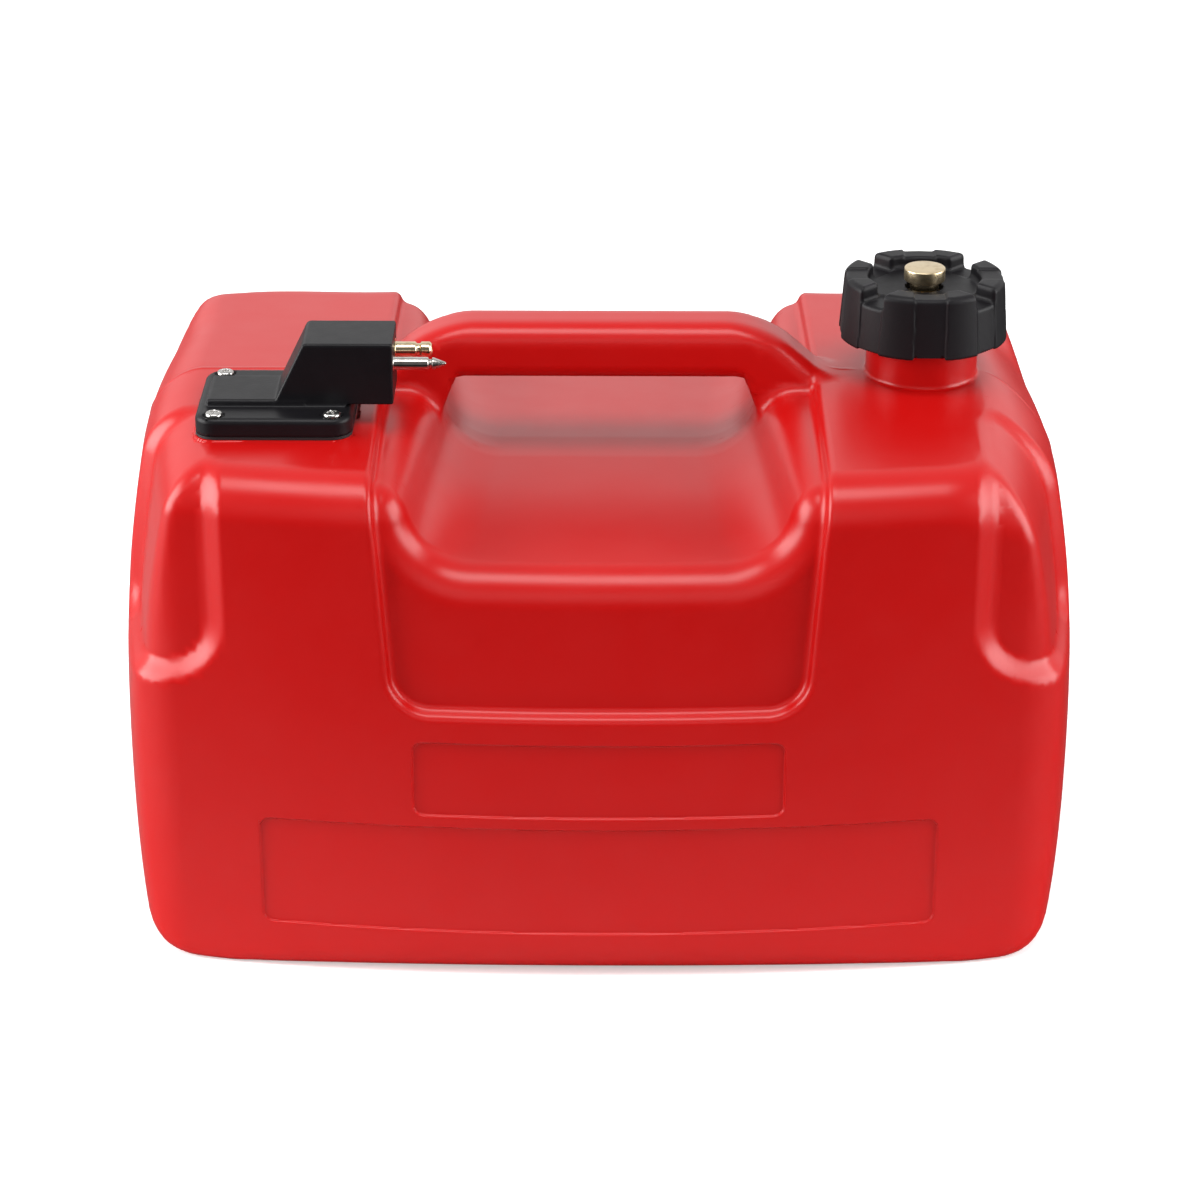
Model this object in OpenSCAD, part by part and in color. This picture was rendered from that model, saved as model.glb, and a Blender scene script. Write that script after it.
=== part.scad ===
// Portable outboard fuel tank. A rigid blow-moulded body carries its own handle and filler neck, a screw cap
// with a brass vent screw closes it, and a bolted outlet with two prongs takes the fuel hose.
// Millimetres. X runs along the tank, the front faces -Y, Z is up, and the origin lies under the middle.

/* [Tank body] */
// Overall length of the body
body_l = 372; // [350:1:400]
// Overall width of the body, front to rear
body_w = 238; // [220:1:256]
// Height of the deck at the parting line
body_h = 204; // [190:1:225]
// Wall of the blow moulding
wall = 3; // [2:0.5:4]
// Radius of the bowed front and rear faces, seen from above
face_r = 780; // [650:10:1000]
// Radius of the ends, seen from above
end_plan_r = 400; // [300:5:400]
// Radius of the ends, seen from the front
end_front_r = 500; // [400:10:700]
// Height at which the ends stand out most
end_mid = 62; // [52:1:76]
// Radius of the upright corners
corner_r = 34; // [28:1:40]
// Slope of the deck down from the parting line, in degrees
deck_fall = 2.5; // [1:0.5:4]
// Radius along the front and rear edges of the deck
deck_edge_r = 14; // [11:1:18]
// Radius where the ends meet the deck
end_top_r = 16; // [13:1:22]
// Radius where the ends meet the base
end_base_r = 12; // [10:1:20]
// Radius where the front and rear faces meet the base, at the middle of the tank
base_edge_r = 17; // [12:1:24]
// Radius where the corners meet the base
foot_r = 7; // [6:0.5:10]

/* [Handle] */
// Rise of the handle above the deck
handle_rise = 20.5; // [14:0.5:30]
// Depth of the handle bar, front to rear
handle_d = 26; // [20:1:34]
// Height of the handle bar
handle_t = 21; // [16:0.5:23]
// Length of the flat top of the handle
handle_top_l = 115; // [90:1:120]
// Length of the handle at the deck
handle_foot_l = 172; // [150:1:190]
// Radius along the top edges of the handle
handle_edge_r = 9.5; // [6:0.5:11]
// Width of the hand hole and of the trough before it
hand_w = 122; // [100:1:130]
// Depth of the hand hole's floor below the deck
hand_depth = 33.5; // [28:0.5:40]
// Radius of the hand hole's lower corners
hand_r = 24; // [16:1:28]
// Slope of the trough's floor, in degrees
trough_fall = 4; // [1:0.5:6]
// Flare of the trough's sides towards the front and rear, in degrees
trough_flare = 5; // [3:0.5:7]

/* [Recesses] */
// Depth of the broad recess that runs over the deck and down both faces
panel_depth = 4.5; // [3:0.5:6]
// Width of that recess at its lower edge
panel_low_w = 152; // [136:1:160]
// Flare of its sides from upright, in degrees
panel_flare = 4; // [0:0.5:6]
// Height of its lower edge above the ground
panel_low = 112; // [104:1:124]
// Radius of its lower corners
panel_r = 14; // [8:1:20]
// Depth of the pockets at the two front corners
pocket_depth = 5; // [3:0.5:6]
// Distance of a pocket's inner edge from the end of the tank
pocket_in = 45; // [38:1:50]
// Height of a pocket's lower edge above the ground
pocket_low = 120; // [108:1:130]
// Radius of a pocket's outline
pocket_r = 24; // [14:1:28]
// Distance of a pocket's rear edge from the parting line
pocket_from_mid = 40; // [30:1:55]
// Depth of the two bare label seats on the front
label_depth = 0.8; // [0.5:0.1:1.2]
// Width of the upper label seat
plate_w = 138; // [110:1:142]
// Height of the upper label seat
plate_h = 30; // [24:1:34]
// Lower edge of the upper label seat above the ground
plate_low = 69; // [68:0.5:74]
// Width of the lower label seat
label_w = 254; // [220:1:264]
// Height of the lower label seat
label_h = 44; // [36:1:46]
// Lower edge of the lower label seat above the ground
label_low = 20; // [18:0.5:22]
// Radius of the label seats' corners
label_r = 4; // [2:0.5:8]

/* [Filler neck and cap] */
// Distance of the neck's axis from the end of the tank
neck_from_end = 62; // [58:0.5:67]
// Outer diameter of the neck
neck_d = 44; // [40:0.5:46]
// Bore of the neck
neck_bore = 37; // [32:0.5:38]
// Height of the neck's rim above the deck
neck_h = 23.5; // [20:0.5:28]
// Height of the cap's lower edge above the deck
cap_gap = 14; // [11:0.5:16]
// Height of the cap
cap_h = 24.2; // [22:0.2:30]
// Diameter of the cap at its lower edge
cap_low_d = 65; // [60:0.5:72]
// Diameter of the cap at its top
cap_top_d = 61.5; // [58:0.5:66]
// Depth of the dish in the cap's top
cap_dish = 9; // [7:0.5:9.5]
// Diameter of the dish
cap_dish_d = 44; // [38:0.5:46]
// Width of the four finger notches
notch_w = 15; // [11:0.5:18]
// Depth of the finger notches
notch_depth = 12; // [9:0.5:12]
// Width of the flute on each grip
flute_w = 12; // [8:0.5:14]
// Depth of the flute on each grip
flute_depth = 1.2; // [0.8:0.1:1.6]
// Radial clearance between cap and neck
cap_clear = 0.4; // [0.3:0.1:0.8]
// Thickness of the cap gasket
gasket_t = 2; // [1.5:0.5:2.5]

/* [Vent screw] */
// Diameter of the vent knob
knob_d = 15.7; // [12:0.1:18]
// Height of the vent knob's head
knob_h = 5; // [4:0.5:7]
// Height of the head's underside above the dish
knob_lift = 4.6; // [4:0.2:8]
// Diameter of the vent screw's stem
stem_d = 6; // [5:0.5:7]
// Outer diameter of the threaded bush in the cap
bush_d = 11; // [10:0.5:13]
// Thickness of the bush's collar and of the seal on it
seal_t = 1.4; // [1:0.1:1.8]
// Travel of the vent screw before its clip stops it
vent_travel = 2; // [1.5:0.1:2.5]
// Radial clearance of a screw or tube in its bore
fit = 0.05; // [0.03:0.01:0.1]

/* [Fuel outlet] */
// Distance of the flange's middle from the end of the tank
outlet_from_end = 65.5; // [63:0.5:71]
// Distance of the flange's middle in front of the parting line
outlet_front = 44.5; // [42:0.5:48]
// Length of the flange along the tank
flange_l = 58; // [56:0.5:62]
// Width of the flange, front to rear
flange_w = 54; // [53:0.5:58]
// Thickness of the flange
flange_t = 7; // [5:0.5:8]
// Radius of the flange's corners
flange_r = 8; // [5:0.5:10]
// Spacing of the flange screws, both ways
screw_pitch = 43.5; // [42:0.5:45]
// Diameter of the flange screws
screw_d = 3.5; // [3:0.1:4]
// Diameter of the screw heads
screw_head_d = 6.4; // [5.5:0.1:7]
// Height of the screw heads
screw_head_h = 2.2; // [1.8:0.1:2.6]
// Thread length below the flange
screw_reach = 7; // [5:0.5:8]
// Diameter of the threaded inserts in the deck
insert_d = 6.4; // [5.6:0.1:7]
// Thickness of the flange gasket
flange_gasket_t = 1; // [0.8:0.1:1.5]
// Depth of the outlet block, front to rear
block_w = 27; // [25:0.5:30]
// Height of the outlet block above the flange
block_h = 24.5; // [22:0.5:28]
// Length of the outlet block's top
block_l = 33; // [31:0.5:36]
// Overhang of the block past the flange
block_over = 15; // [12:0.5:17]
// Run of the block's sloped back
block_slope = 12; // [8:0.5:16]
// Height of the raised strip beside the block
strip_h = 2.5; // [1.5:0.5:3.5]

/* [Prongs and valve] */
// Spacing of the two prongs
prong_pitch = 15; // [14:0.5:17]
// Height of the prongs below the block's top
prong_drop = 9.5; // [8.5:0.5:11]
// Diameter of the brass fuel spigot
spigot_d = 6; // [5.5:0.1:6.6]
// Reach of the spigot out of the block
spigot_l = 13.6; // [11:0.2:16]
// Bore of the spigot
spigot_bore = 3; // [2.5:0.1:3.4]
// Diameter of the spigot's pressed shank
shank_d = 9; // [8:0.1:10]
// Length of the spigot's pressed shank
shank_l = 9; // [8:0.5:10]
// Diameter of the steel locking pin
pin_d = 4.8; // [4:0.1:5.4]
// Reach of the locking pin out of the block
pin_l = 19.5; // [17:0.5:22]
// Diameter of the locking pin's pressed shank
pin_shank_d = 6; // [5.6:0.1:6.6]
// Depth of the locking pin's seat in the block
pin_seat = 14; // [10:0.5:18]
// Diameter of the check ball
ball_d = 6; // [5.6:0.1:6.2]
// Diameter of the valve's chamber
chamber_d = 7.6; // [7:0.1:7.8]
// Diameter of the fuel passage
passage_d = 4.4; // [3.6:0.1:4.8]
// Length of the closing spring
spring_l = 5; // [4.6:0.1:6]
// Wire of the closing spring
spring_wire = 0.5; // [0.4:0.05:0.55]
// Turns of the closing spring
spring_turns = 4; // [3:1:4]

/* [Pickup] */
// Outer diameter of the pickup tube
tube_d = 8.4; // [7.6:0.1:9]
// Bore of the pickup tube
tube_bore = 5.6; // [5.2:0.1:6]
// Length of the barb that the tube is pushed on
barb_l = 14; // [11:0.5:18]
// Depth of the barb's pressed shank in the stem
barb_press = 8; // [6:0.5:9]
// Diameter of the barb's pressed shank
barb_shank_d = 9; // [8.4:0.1:10]
// Diameter of the outlet's stem through the deck
stem_through_d = 18; // [16:0.5:20]
// Reach of the stem below the seat on the deck
stem_through_l = 12; // [10:0.5:15]
// Diameter of the strainer
strainer_d = 17; // [15:0.5:20]
// Height of the strainer
strainer_h = 24; // [20:0.5:30]
// Height of the strainer's foot above the tank's inner floor
strainer_gap = 0.3; // [0.2:0.1:0.5]
// Number of windows in the strainer's cage
strainer_windows = 6; // [5:1:8]

/* [Hidden] */
$fn = 64;

// Tank body
half_l = body_l / 2;
half_w = body_w / 2;
beyond = 40;                          // how far a cutting shape runs past what it cuts
ridge_clear = 1;                      // keeps the turned ends off the ridge of the deck
end_clear = 1;                        // lets the upright walls alone shape the middle of the ends
base_clear = 1.5;                     // lets the bowed faces alone shape the middle of the front
lap = 0.08;                           // lets a rounded edge cross the next surface, not merely touch it
face_axis = face_r - half_w;
face_inner_r = face_axis - half_w - beyond / 2;
end_axis = half_l - end_plan_r;
end_front_axis = end_plan_r + end_clear - end_front_r;

// A value to the nearest hundredth, so that faces set out from it meet exactly
function even(v) = round(v * 100) / 100;

// Deck height at a place on the tank
function deck_z(x, y) = body_h - (norm([x, abs(y) + face_axis]) - face_axis) * tan(deck_fall);

// Middle of the upright corner's arc, which touches the bowed face and the rounded end
function arcs_meet(p, rp, q, rq) =
    let (d = norm(q - p), u = (q - p) / d, a = (rp * rp - rq * rq + d * d) / (2 * d))
    p + a * u + sqrt(rp * rp - a * a) * [u.y, -u.x];
face_centre = [0, -face_axis];
end_centre = [end_axis, 0];
corner_c = arcs_meet(face_centre, face_r - corner_r, end_centre, end_plan_r - corner_r);

// The point where a larger arc of radius r about p touches the corner's arc about c
function touch(p, c, r) = p + (c - p) / norm(c - p) * r;

// Middles of the arcs at the upper and lower edges of an end, measured from its upright axis
end_front_c = [end_front_axis, end_mid];
function end_corner(z, r) = [end_front_axis + sqrt(pow(end_front_r - r, 2) - pow(z - end_mid, 2)), z];
top_c = end_corner(body_h - end_top_r, end_top_r);
base_c = end_corner(end_base_r, end_base_r);

// Middles of the arcs at the upper and lower edges of a corner post, measured from its axis
post_top_c = [corner_r - deck_edge_r, even(deck_z(corner_c.x, corner_c.y) - deck_edge_r)];
post_base_x = corner_r - foot_r;

// Handle and hand hole
handle_top = body_h + handle_rise;
handle_under = handle_top - handle_t;
handle_half_d = handle_d / 2;
handle_sink = 10;                     // depth of the handle's foot inside the body
handle_root = body_h - handle_sink;
handle_lean = (handle_foot_l - handle_top_l) / 2 / handle_rise;
hand_floor = body_h - hand_depth;
hand_half = hand_w / 2;
window_step = 0.6;                    // the hole under the handle is this much larger than the troughs
trough_gap = 0.3;                     // keeps the troughs off the handle's front and rear
trough_start = even(handle_half_d + trough_gap - (handle_under - hand_floor) * tan(trough_fall));

// Recesses
panel_low_c = [panel_low_w / 2 - panel_r, panel_low + panel_r];
pocket_x = half_l - pocket_in;

// Filler neck, cap and vent screw, which share one axis
neck_x = half_l - neck_from_end;
neck_top = body_h + neck_h;
cap_bottom = body_h + cap_gap;
cap_top = cap_bottom + cap_h;
cap_floor = cap_top - cap_dish;
cap_ceiling = neck_top + gasket_t;
cap_bore_d = neck_d + 2 * cap_clear;
cap_lean = atan((cap_low_d - cap_top_d) / 2 / cap_h);
gasket_in_d = neck_bore - 3;
bush_collar = bush_d + 3;
bush_below = 1.5;                     // length of the bush under the cap's ceiling
bush_foot = cap_ceiling - bush_below;
seal_z = cap_floor + seal_t;
knob_neck_z = seal_z + seal_t;
knob_z = cap_floor + knob_lift;
knob_edge = 0.6;
clip_t = 0.8;
clip_z = bush_foot - vent_travel - clip_t - 0.2;
clip_groove_d = stem_d - 1.4;
stem_foot = clip_z - 1.2;

// Fuel outlet
outlet_x = -(half_l - outlet_from_end);
outlet_y = -outlet_front;
seat_z = even(deck_z(outlet_x, outlet_y) - 0.4);
seat_t = 5;                           // thickness of the deck under the flange
seat_edge = 1;                        // margin of the seat round the flange
flange_z = seat_z + flange_gasket_t;
flange_top = flange_z + flange_t;
block_top = flange_top + block_h;
block_right = outlet_x + flange_l / 2 + block_over;
block_left = block_right - block_l;
block_under = flange_top + 0.8;
strip_left = outlet_x - flange_l / 2 + 3.5;
screw_hole_d = screw_d + 0.4;
screw_sink = 0.8;                     // depth of the recess under each screw head
sink_d = screw_head_d + 1.2;
ear_r = sink_d / 2 + 1;               // the flange reaches at least this far round each screw
screw_places = [for (sx = [-1, 1], sy = [-1, 1])
                [outlet_x + sx * screw_pitch / 2, outlet_y + sy * screw_pitch / 2]];
cross_l = screw_head_d * 0.6;           // the cross in each screw head
cross_w = 0.9;
insert_l = screw_reach + 2;
insert_boss_d = insert_d + 5;

// Prongs, valve and pickup
prong_z = block_top - prong_drop;
spigot_y = outlet_y + prong_pitch / 2;
pin_y = outlet_y - prong_pitch / 2;
shank_end = block_right - shank_l;
oring_d = 1.5;
oring_groove = oring_d + 2 * fit;
passage_x = block_left + 5;
stem_end = seat_z - stem_through_l;
barb_top = stem_end + barb_press;
barb_collar_t = 2;
barb_collar_d = barb_shank_d + 3;
barb_d = tube_bore - 2 * fit;
tube_top = stem_end - barb_collar_t;
barb_end = tube_top - barb_l;
contact_gap = 0.03;                   // left between the ball and what it touches
ball_seat_depth = sqrt(ball_d * ball_d - passage_d * passage_d) / 2;
ball_z = barb_top + ball_seat_depth + contact_gap;
spring_d = ball_d - 0.8;
spring_mean_r = (spring_d - spring_wire) / 2;
spring_hold = sqrt(pow((ball_d + spring_wire) / 2, 2) - pow(spring_mean_r, 2)) + contact_gap;
spring_z = ball_z + spring_hold - spring_wire / 2;
chamber_top = spring_z + spring_l;
riser_d = passage_d - 0.4;
strainer_z = wall + strainer_gap;
strainer_wall = 1.4;
strainer_floor_t = 2;
tube_sink = 2;                        // depth of the pickup tube in the strainer's roof
mesh_below_top = 4;                   // the gauze stops under the strainer's roof
strainer_top = strainer_z + strainer_h;
mesh_t = 0.4;
clip_band = 5;                        // height of the clip round the pickup tube
clip_band_t = 0.8;

// Outline of the tank seen from above
module plan_outline(inset) {
    face_touch = touch(face_centre, corner_c, face_r - inset);
    end_touch = touch(end_centre, corner_c, end_plan_r - inset);
    square([2 * face_touch.x, 2 * body_w], center = true);
    intersection() {
        translate(end_centre) circle(end_plan_r - inset);
        translate(-end_centre) circle(end_plan_r - inset);
        square([2 * body_l, 2 * end_touch.y], center = true);
    }
}

// Section of an upright corner post with its round upper and lower edges
module post_section(inset) {
    r = corner_r - inset + lap;
    square([post_top_c.x, body_h + beyond]);
    translate([0, foot_r]) square([r, post_top_c.y - foot_r]);
    translate([0, inset]) square([post_base_x, foot_r]);
    translate(post_top_c) circle(deck_edge_r - inset + lap);
    translate([post_base_x, foot_r]) circle(foot_r - inset + lap);
}

// Section of a bulging end about its upright axis, with its round upper and lower edges
module end_section(inset) {
    top_touch = touch(end_front_c, top_c, end_front_r - inset);
    base_touch = touch(end_front_c, base_c, end_front_r - inset);
    intersection() {
        translate(end_front_c) circle(end_front_r - inset);
        translate([0, base_touch.y]) square([2 * end_plan_r, top_touch.y - base_touch.y]);
    }
    translate([0, end_mid]) square([top_c.x, body_h + ridge_clear - end_mid]);
    translate([0, inset]) square([base_c.x, end_mid - inset]);
    translate(top_c) circle(end_top_r - inset + lap);
    translate(base_c) circle(end_base_r - inset + lap);
}

// Outline of the tank's lower part seen from the side
module side_outline(inset) {
    face = half_w + base_clear;
    arc_y = face - base_edge_r;
    translate([-arc_y, inset]) square([2 * arc_y, body_h + beyond]);
    translate([inset - face, base_edge_r]) square([2 * (face - inset), body_h + beyond]);
    for (s = [-1, 1])
        translate([s * arc_y, base_edge_r]) circle(base_edge_r - inset);
}

// Section of one half: a bowed face, a sloping deck and the round edge between them
module face_section(inset) {
    rim = face_r - inset;
    edge_r = deck_edge_r - inset;
    function deck(r) = body_h - inset / cos(deck_fall) - (r - face_axis) * tan(deck_fall);
    foot = max(foot_r - inset, 1);
    arc = [rim - edge_r, deck(rim - edge_r) - edge_r / cos(deck_fall)];
    polygon([[face_inner_r, inset], [rim - foot, inset], [rim, inset + foot], [rim, arc.y],
             arc + edge_r * [sin(deck_fall), cos(deck_fall)], [face_inner_r, deck(face_inner_r)]]);
    translate(arc) circle(edge_r + lap);
    translate([rim - foot, inset + foot]) circle(foot);
}

module both_halves() {
    children();
    mirror([0, 1, 0]) children();
}

module both_ends() {
    children();
    mirror([1, 0, 0]) children();
}

// Extrudes a front view along Y, between two distances in front of the parting line
module along_y(from, to) {
    translate([0, -from, 0]) rotate([90, 0, 0]) linear_extrude(to - from) children();
}

// The bowed faces and the sloping deck of both halves
module faces_and_deck(inset) {
    intersection() {
        translate([0, face_axis, 0]) rotate_extrude($fn = 180) face_section(inset);
        translate([0, -face_axis, 0]) rotate_extrude($fn = 180) face_section(inset);
    }
}

// The upright walls with a turned post at each corner
module walls_form(inset) {
    translate([0, 0, -beyond]) linear_extrude(body_h + 3 * beyond) plan_outline(inset);
    for (sx = [-1, 1], sy = [-1, 1])
        translate([sx * corner_c.x, sy * corner_c.y, 0]) rotate_extrude() post_section(inset);
}

// The bulging ends
module ends_form(inset) {
    intersection() {
        translate(end_centre) rotate_extrude($fn = 180) end_section(inset);
        translate(-end_centre) rotate_extrude($fn = 180) end_section(inset);
    }
}

// The whole body, or the space inside it, before any recess
module body_form(inset) {
    intersection() {
        faces_and_deck(inset);
        walls_form(inset);
        ends_form(inset);
        rotate([90, 0, 90]) translate([0, 0, -body_l]) linear_extrude(2 * body_l) side_outline(inset);
    }
}

// Outline of the broad recess seen from the front, its lower corners in short straight steps
module panel_outline(grow) {
    steps = 6;
    arc = [for (i = [0 : steps])
        let (t = (90 - panel_flare) * i / steps - 90) panel_low_c + (panel_r + grow) * [cos(t), sin(t)]];
    rise = body_h + beyond - arc[steps].y;
    right = concat(arc, [arc[steps] + rise * [tan(panel_flare), 1]]);
    polygon(concat(right, [for (i = [steps + 1 : -1 : 0]) [-right[i].x, right[i].y]]));
}

module panel_recess(grow) {
    difference() {
        along_y(-body_w, body_w) panel_outline(grow);
        faces_and_deck(panel_depth + grow);
    }
}

// Outline of the right front pocket seen from the front
module pocket_outline(grow) {
    low = pocket_low - grow;
    high = body_h + beyond;
    in = pocket_x - grow;
    r = pocket_r + grow;
    difference() {
        translate([in, low]) square([beyond + pocket_in, high - low]);
        translate([in, low]) square(r);
    }
    translate([in + r, low + r]) circle(r);
}

// What the pockets leave standing: the walls set inwards, without the round edge of the deck
module pocket_core(inset) {
    tall = body_h + 3 * beyond;
    intersection() {
        translate([0, 0, -beyond]) linear_extrude(tall) {
            plan_outline(inset);
            for (sx = [-1, 1], sy = [-1, 1])
                translate([sx * corner_c.x, sy * corner_c.y]) circle(corner_r - inset + lap);
        }
        translate(end_centre) bare_end(inset, tall);
        translate(-end_centre) bare_end(inset, tall);
        translate([0, face_axis, -beyond]) cylinder(r = face_r - inset, h = tall, $fn = 180);
        translate([0, -face_axis, -beyond]) cylinder(r = face_r - inset, h = tall, $fn = 180);
    }
}

// A bulging end that runs on past the deck and the base
module bare_end(inset, tall) {
    rotate_extrude($fn = 180) intersection() {
        translate(end_front_c) circle(end_front_r - inset);
        translate([0, -beyond]) square([end_front_r, tall]);
    }
}

module corner_pockets(grow) {
    both_ends() difference() {
        along_y(pocket_from_mid - grow, body_w) pocket_outline(grow);
        pocket_core(pocket_depth + grow);
    }
}

// A shallow flat-edged seat for a label on the front face
module label_seat(w, h, low) {
    difference() {
        along_y(half_w - beyond, half_w + beyond) {
            translate([label_r - w / 2, low]) square([w - 2 * label_r, h]);
            translate([-w / 2, low + label_r]) square([w, h - 2 * label_r]);
            for (x = [label_r - w / 2, w / 2 - label_r], z = [low + label_r, low + h - label_r])
                translate([x, z]) circle(label_r);
        }
        faces_and_deck(label_depth);
    }
}

module handle_bar(inset) {
    half_d = handle_half_d - inset;
    top = handle_top - inset;
    edge_r = handle_edge_r - inset;
    low = handle_root - beyond;
    lean_inset = inset * (sqrt(1 + handle_lean * handle_lean));
    foot_x = handle_foot_l / 2 + (body_h - handle_root) * handle_lean - lean_inset;
    top_x = handle_top_l / 2 + inset * handle_lean - lean_inset;
    intersection() {
        along_y(-half_d, half_d)
            polygon([[-foot_x, handle_root], [foot_x, handle_root], [top_x, top], [-top_x, top]]);
        rotate([90, 0, 90]) translate([0, 0, -body_l]) linear_extrude(2 * body_l) {
            translate([edge_r - half_d, low]) square([2 * (half_d - edge_r), top - low]);
            translate([-half_d, low]) square([2 * half_d, top - edge_r - low]);
            for (s = [-1, 1])
                translate([s * (half_d - edge_r), top - edge_r]) circle(edge_r);
        }
    }
}

// Cross section of the hand hole and the trough, from the floor up to a given height
module hand_outline(grow, top) {
    flat = hand_half - hand_r;
    arc_z = hand_floor + hand_r;
    translate([-flat, hand_floor - grow]) square([2 * flat, top - hand_floor + grow]);
    translate([-hand_half - grow, arc_z]) square([2 * (hand_half + grow), top - arc_z]);
    intersection() {
        for (s = [-1, 1])
            translate([s * flat, arc_z]) circle(hand_r + grow);
        translate([-hand_w, hand_floor - hand_r]) square([2 * hand_w, 2 * hand_r]);
    }
}

// The hole under the handle and the sloping troughs before and behind it
module hand_space(grow) {
    window = handle_half_d + 2 * trough_gap;
    along_y(-window, window) hand_outline(grow + window_step, handle_under + grow);
    both_halves() trough(grow);
}

// Right half of the trough's section, which reaches a little past the middle
module trough_section(grow) {
    intersection() {
        hand_outline(grow, handle_top + beyond);
        translate([-hand_r, hand_floor - beyond]) square([hand_w, handle_top - hand_floor + 3 * beyond]);
    }
}

// The sloping trough before the handle, whose sides spread towards the front
module trough(grow) {
    run = half_w + 2 * beyond;
    near = handle_half_d + trough_gap - grow;
    intersection() {
        translate([-body_l, -run, 0]) cube([2 * body_l, run - near, handle_top + 2 * beyond]);
        both_ends() translate([hand_half, -trough_start, hand_floor]) rotate(trough_flare)
            rotate([90 + trough_fall, 0, 0]) translate([-hand_half, -hand_floor, -beyond / 2])
                linear_extrude(run) trough_section(grow);
    }
}

// A block with round upright edges, seen from above
module rounded_plate(l, w, r, t) {
    linear_extrude(t) {
        square([l - 2 * r, w], center = true);
        square([l, w - 2 * r], center = true);
        for (sx = [-1, 1], sy = [-1, 1])
            translate([sx * (l / 2 - r), sy * (w / 2 - r)]) circle(r);
    }
}

module at_screws(z) {
    for (p = screw_places)
        translate([p.x, p.y, z]) children();
}

module at_cap(z) {
    translate([neck_x, 0, z]) children();
}

// On the upright line of the fuel riser, valve and pickup
module at_riser(z) {
    translate([passage_x, spigot_y, z]) children();
}

// Outline of the flange with a margin round it, always wide enough to hold its screws
module flange_form(edge, z, thick) {
    translate([outlet_x, outlet_y, z])
        rounded_plate(flange_l + 2 * edge, flange_w + 2 * edge, flange_r + edge, thick);
    at_screws(z) cylinder(r = ear_r + edge, h = thick);
}

// The flat seat of the outlet
module outlet_seat(thick) {
    flange_form(seat_edge, seat_z - thick, thick);
}

module tank_outside() {
    difference() {
        union() {
            difference() {
                body_form(0);
                panel_recess(0);
                corner_pockets(0);
                label_seat(plate_w, plate_h, plate_low);
                label_seat(label_w, label_h, label_low);
                translate([0, 0, seat_t]) outlet_seat(seat_t);
            }
            handle_bar(0);
            outlet_seat(seat_t);
            at_cap(body_h - wall) cylinder(d = neck_d, h = neck_h + wall);
        }
        hand_space(0);
    }
}

module tank_inside() {
    difference() {
        union() {
            difference() {
                body_form(wall);
                panel_recess(wall);
                corner_pockets(wall);
            }
            handle_bar(wall);
        }
        hand_space(wall);
        outlet_seat(seat_t);
        at_screws(seat_z - insert_l - wall) cylinder(d = insert_boss_d, h = insert_l + wall);
    }
}

module tank_shell() {
    color("#c01a18") difference() {
        tank_outside();
        tank_inside();
        at_cap(body_h - beyond) cylinder(d = neck_bore, h = neck_h + 2 * beyond);
        at_riser(seat_z - beyond / 2) cylinder(d = stem_through_d + 2 * cap_clear, h = beyond);
        at_screws(seat_z - insert_l) cylinder(d = insert_d, h = insert_l + 1);
    }
}

// Blind brass inserts moulded into the deck
module thread_inserts() {
    color("#b8963e") at_screws(seat_z - insert_l) difference() {
        cylinder(d = insert_d, h = insert_l);
        translate([0, 0, insert_l - screw_reach - 1]) cylinder(d = screw_d + 2 * fit, h = screw_reach + 2);
    }
}

module outlet_gasket() {
    color("#202022") difference() {
        flange_form(0, seat_z, flange_gasket_t);
        at_riser(seat_z - 1) cylinder(d = stem_through_d + 2 * cap_clear, h = flange_gasket_t + 2);
        at_screws(seat_z - 1) cylinder(d = screw_hole_d, h = flange_gasket_t + 2);
    }
}

// A bore along X that ends at a given place, at the height of the prongs
module prong_bore(y, d, from, to) {
    translate([from, y, prong_z]) rotate([0, 90, 0]) cylinder(d = d, h = to - from);
}

module outlet_body() {
    color("#1c1b1e") difference() {
        union() {
            flange_form(0, flange_z, flange_t);
            along_y(outlet_front - block_w / 2, outlet_front + block_w / 2) {
                polygon([[block_left - block_slope, flange_top], [block_left, block_top],
                         [block_right, block_top], [block_right, block_under],
                         [outlet_x + flange_l / 2, block_under], [outlet_x + flange_l / 2, flange_top]]);
                translate([strip_left, flange_top - 1]) square([block_left - strip_left, strip_h + 1]);
            }
            at_riser(stem_end) cylinder(d = stem_through_d, h = flange_z - stem_end + 1);
        }
        at_screws(flange_z - 1) cylinder(d = screw_hole_d, h = flange_t + 2);
        at_screws(flange_top - screw_sink) cylinder(d = sink_d, h = strip_h + beyond / 4);
        prong_bore(spigot_y, shank_d, shank_end, block_right + 1);
        prong_bore(spigot_y, passage_d, passage_x, shank_end + 1);
        prong_bore(pin_y, pin_shank_d, block_right - pin_seat, block_right + 1);
        at_riser(stem_end - 1) cylinder(d = barb_shank_d, h = barb_press + 1);
        at_riser(stem_end) cylinder(d = chamber_d, h = chamber_top - stem_end);
        at_riser(stem_end) cylinder(d = riser_d, h = prong_z - stem_end);
    }
}

module flange_screws() {
    color("#b9b9ba") at_screws(flange_top - screw_sink) difference() {
        union() {
            cylinder(d = screw_head_d, h = screw_head_h);
            translate([0, 0, screw_sink - flange_t - flange_gasket_t - screw_reach])
                cylinder(d = screw_d, h = flange_t + flange_gasket_t + screw_reach);
        }
        for (a = [0, 90])
            rotate(a) translate([0, 0, screw_head_h]) cube([cross_l, cross_w, screw_head_h], center = true);
    }
}

// A turned piece about the line of a prong, drawn as radius against distance from the block's face
module turned_prong(y) {
    translate([block_right, y, prong_z]) rotate([0, 90, 0]) rotate_extrude() children();
}

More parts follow.
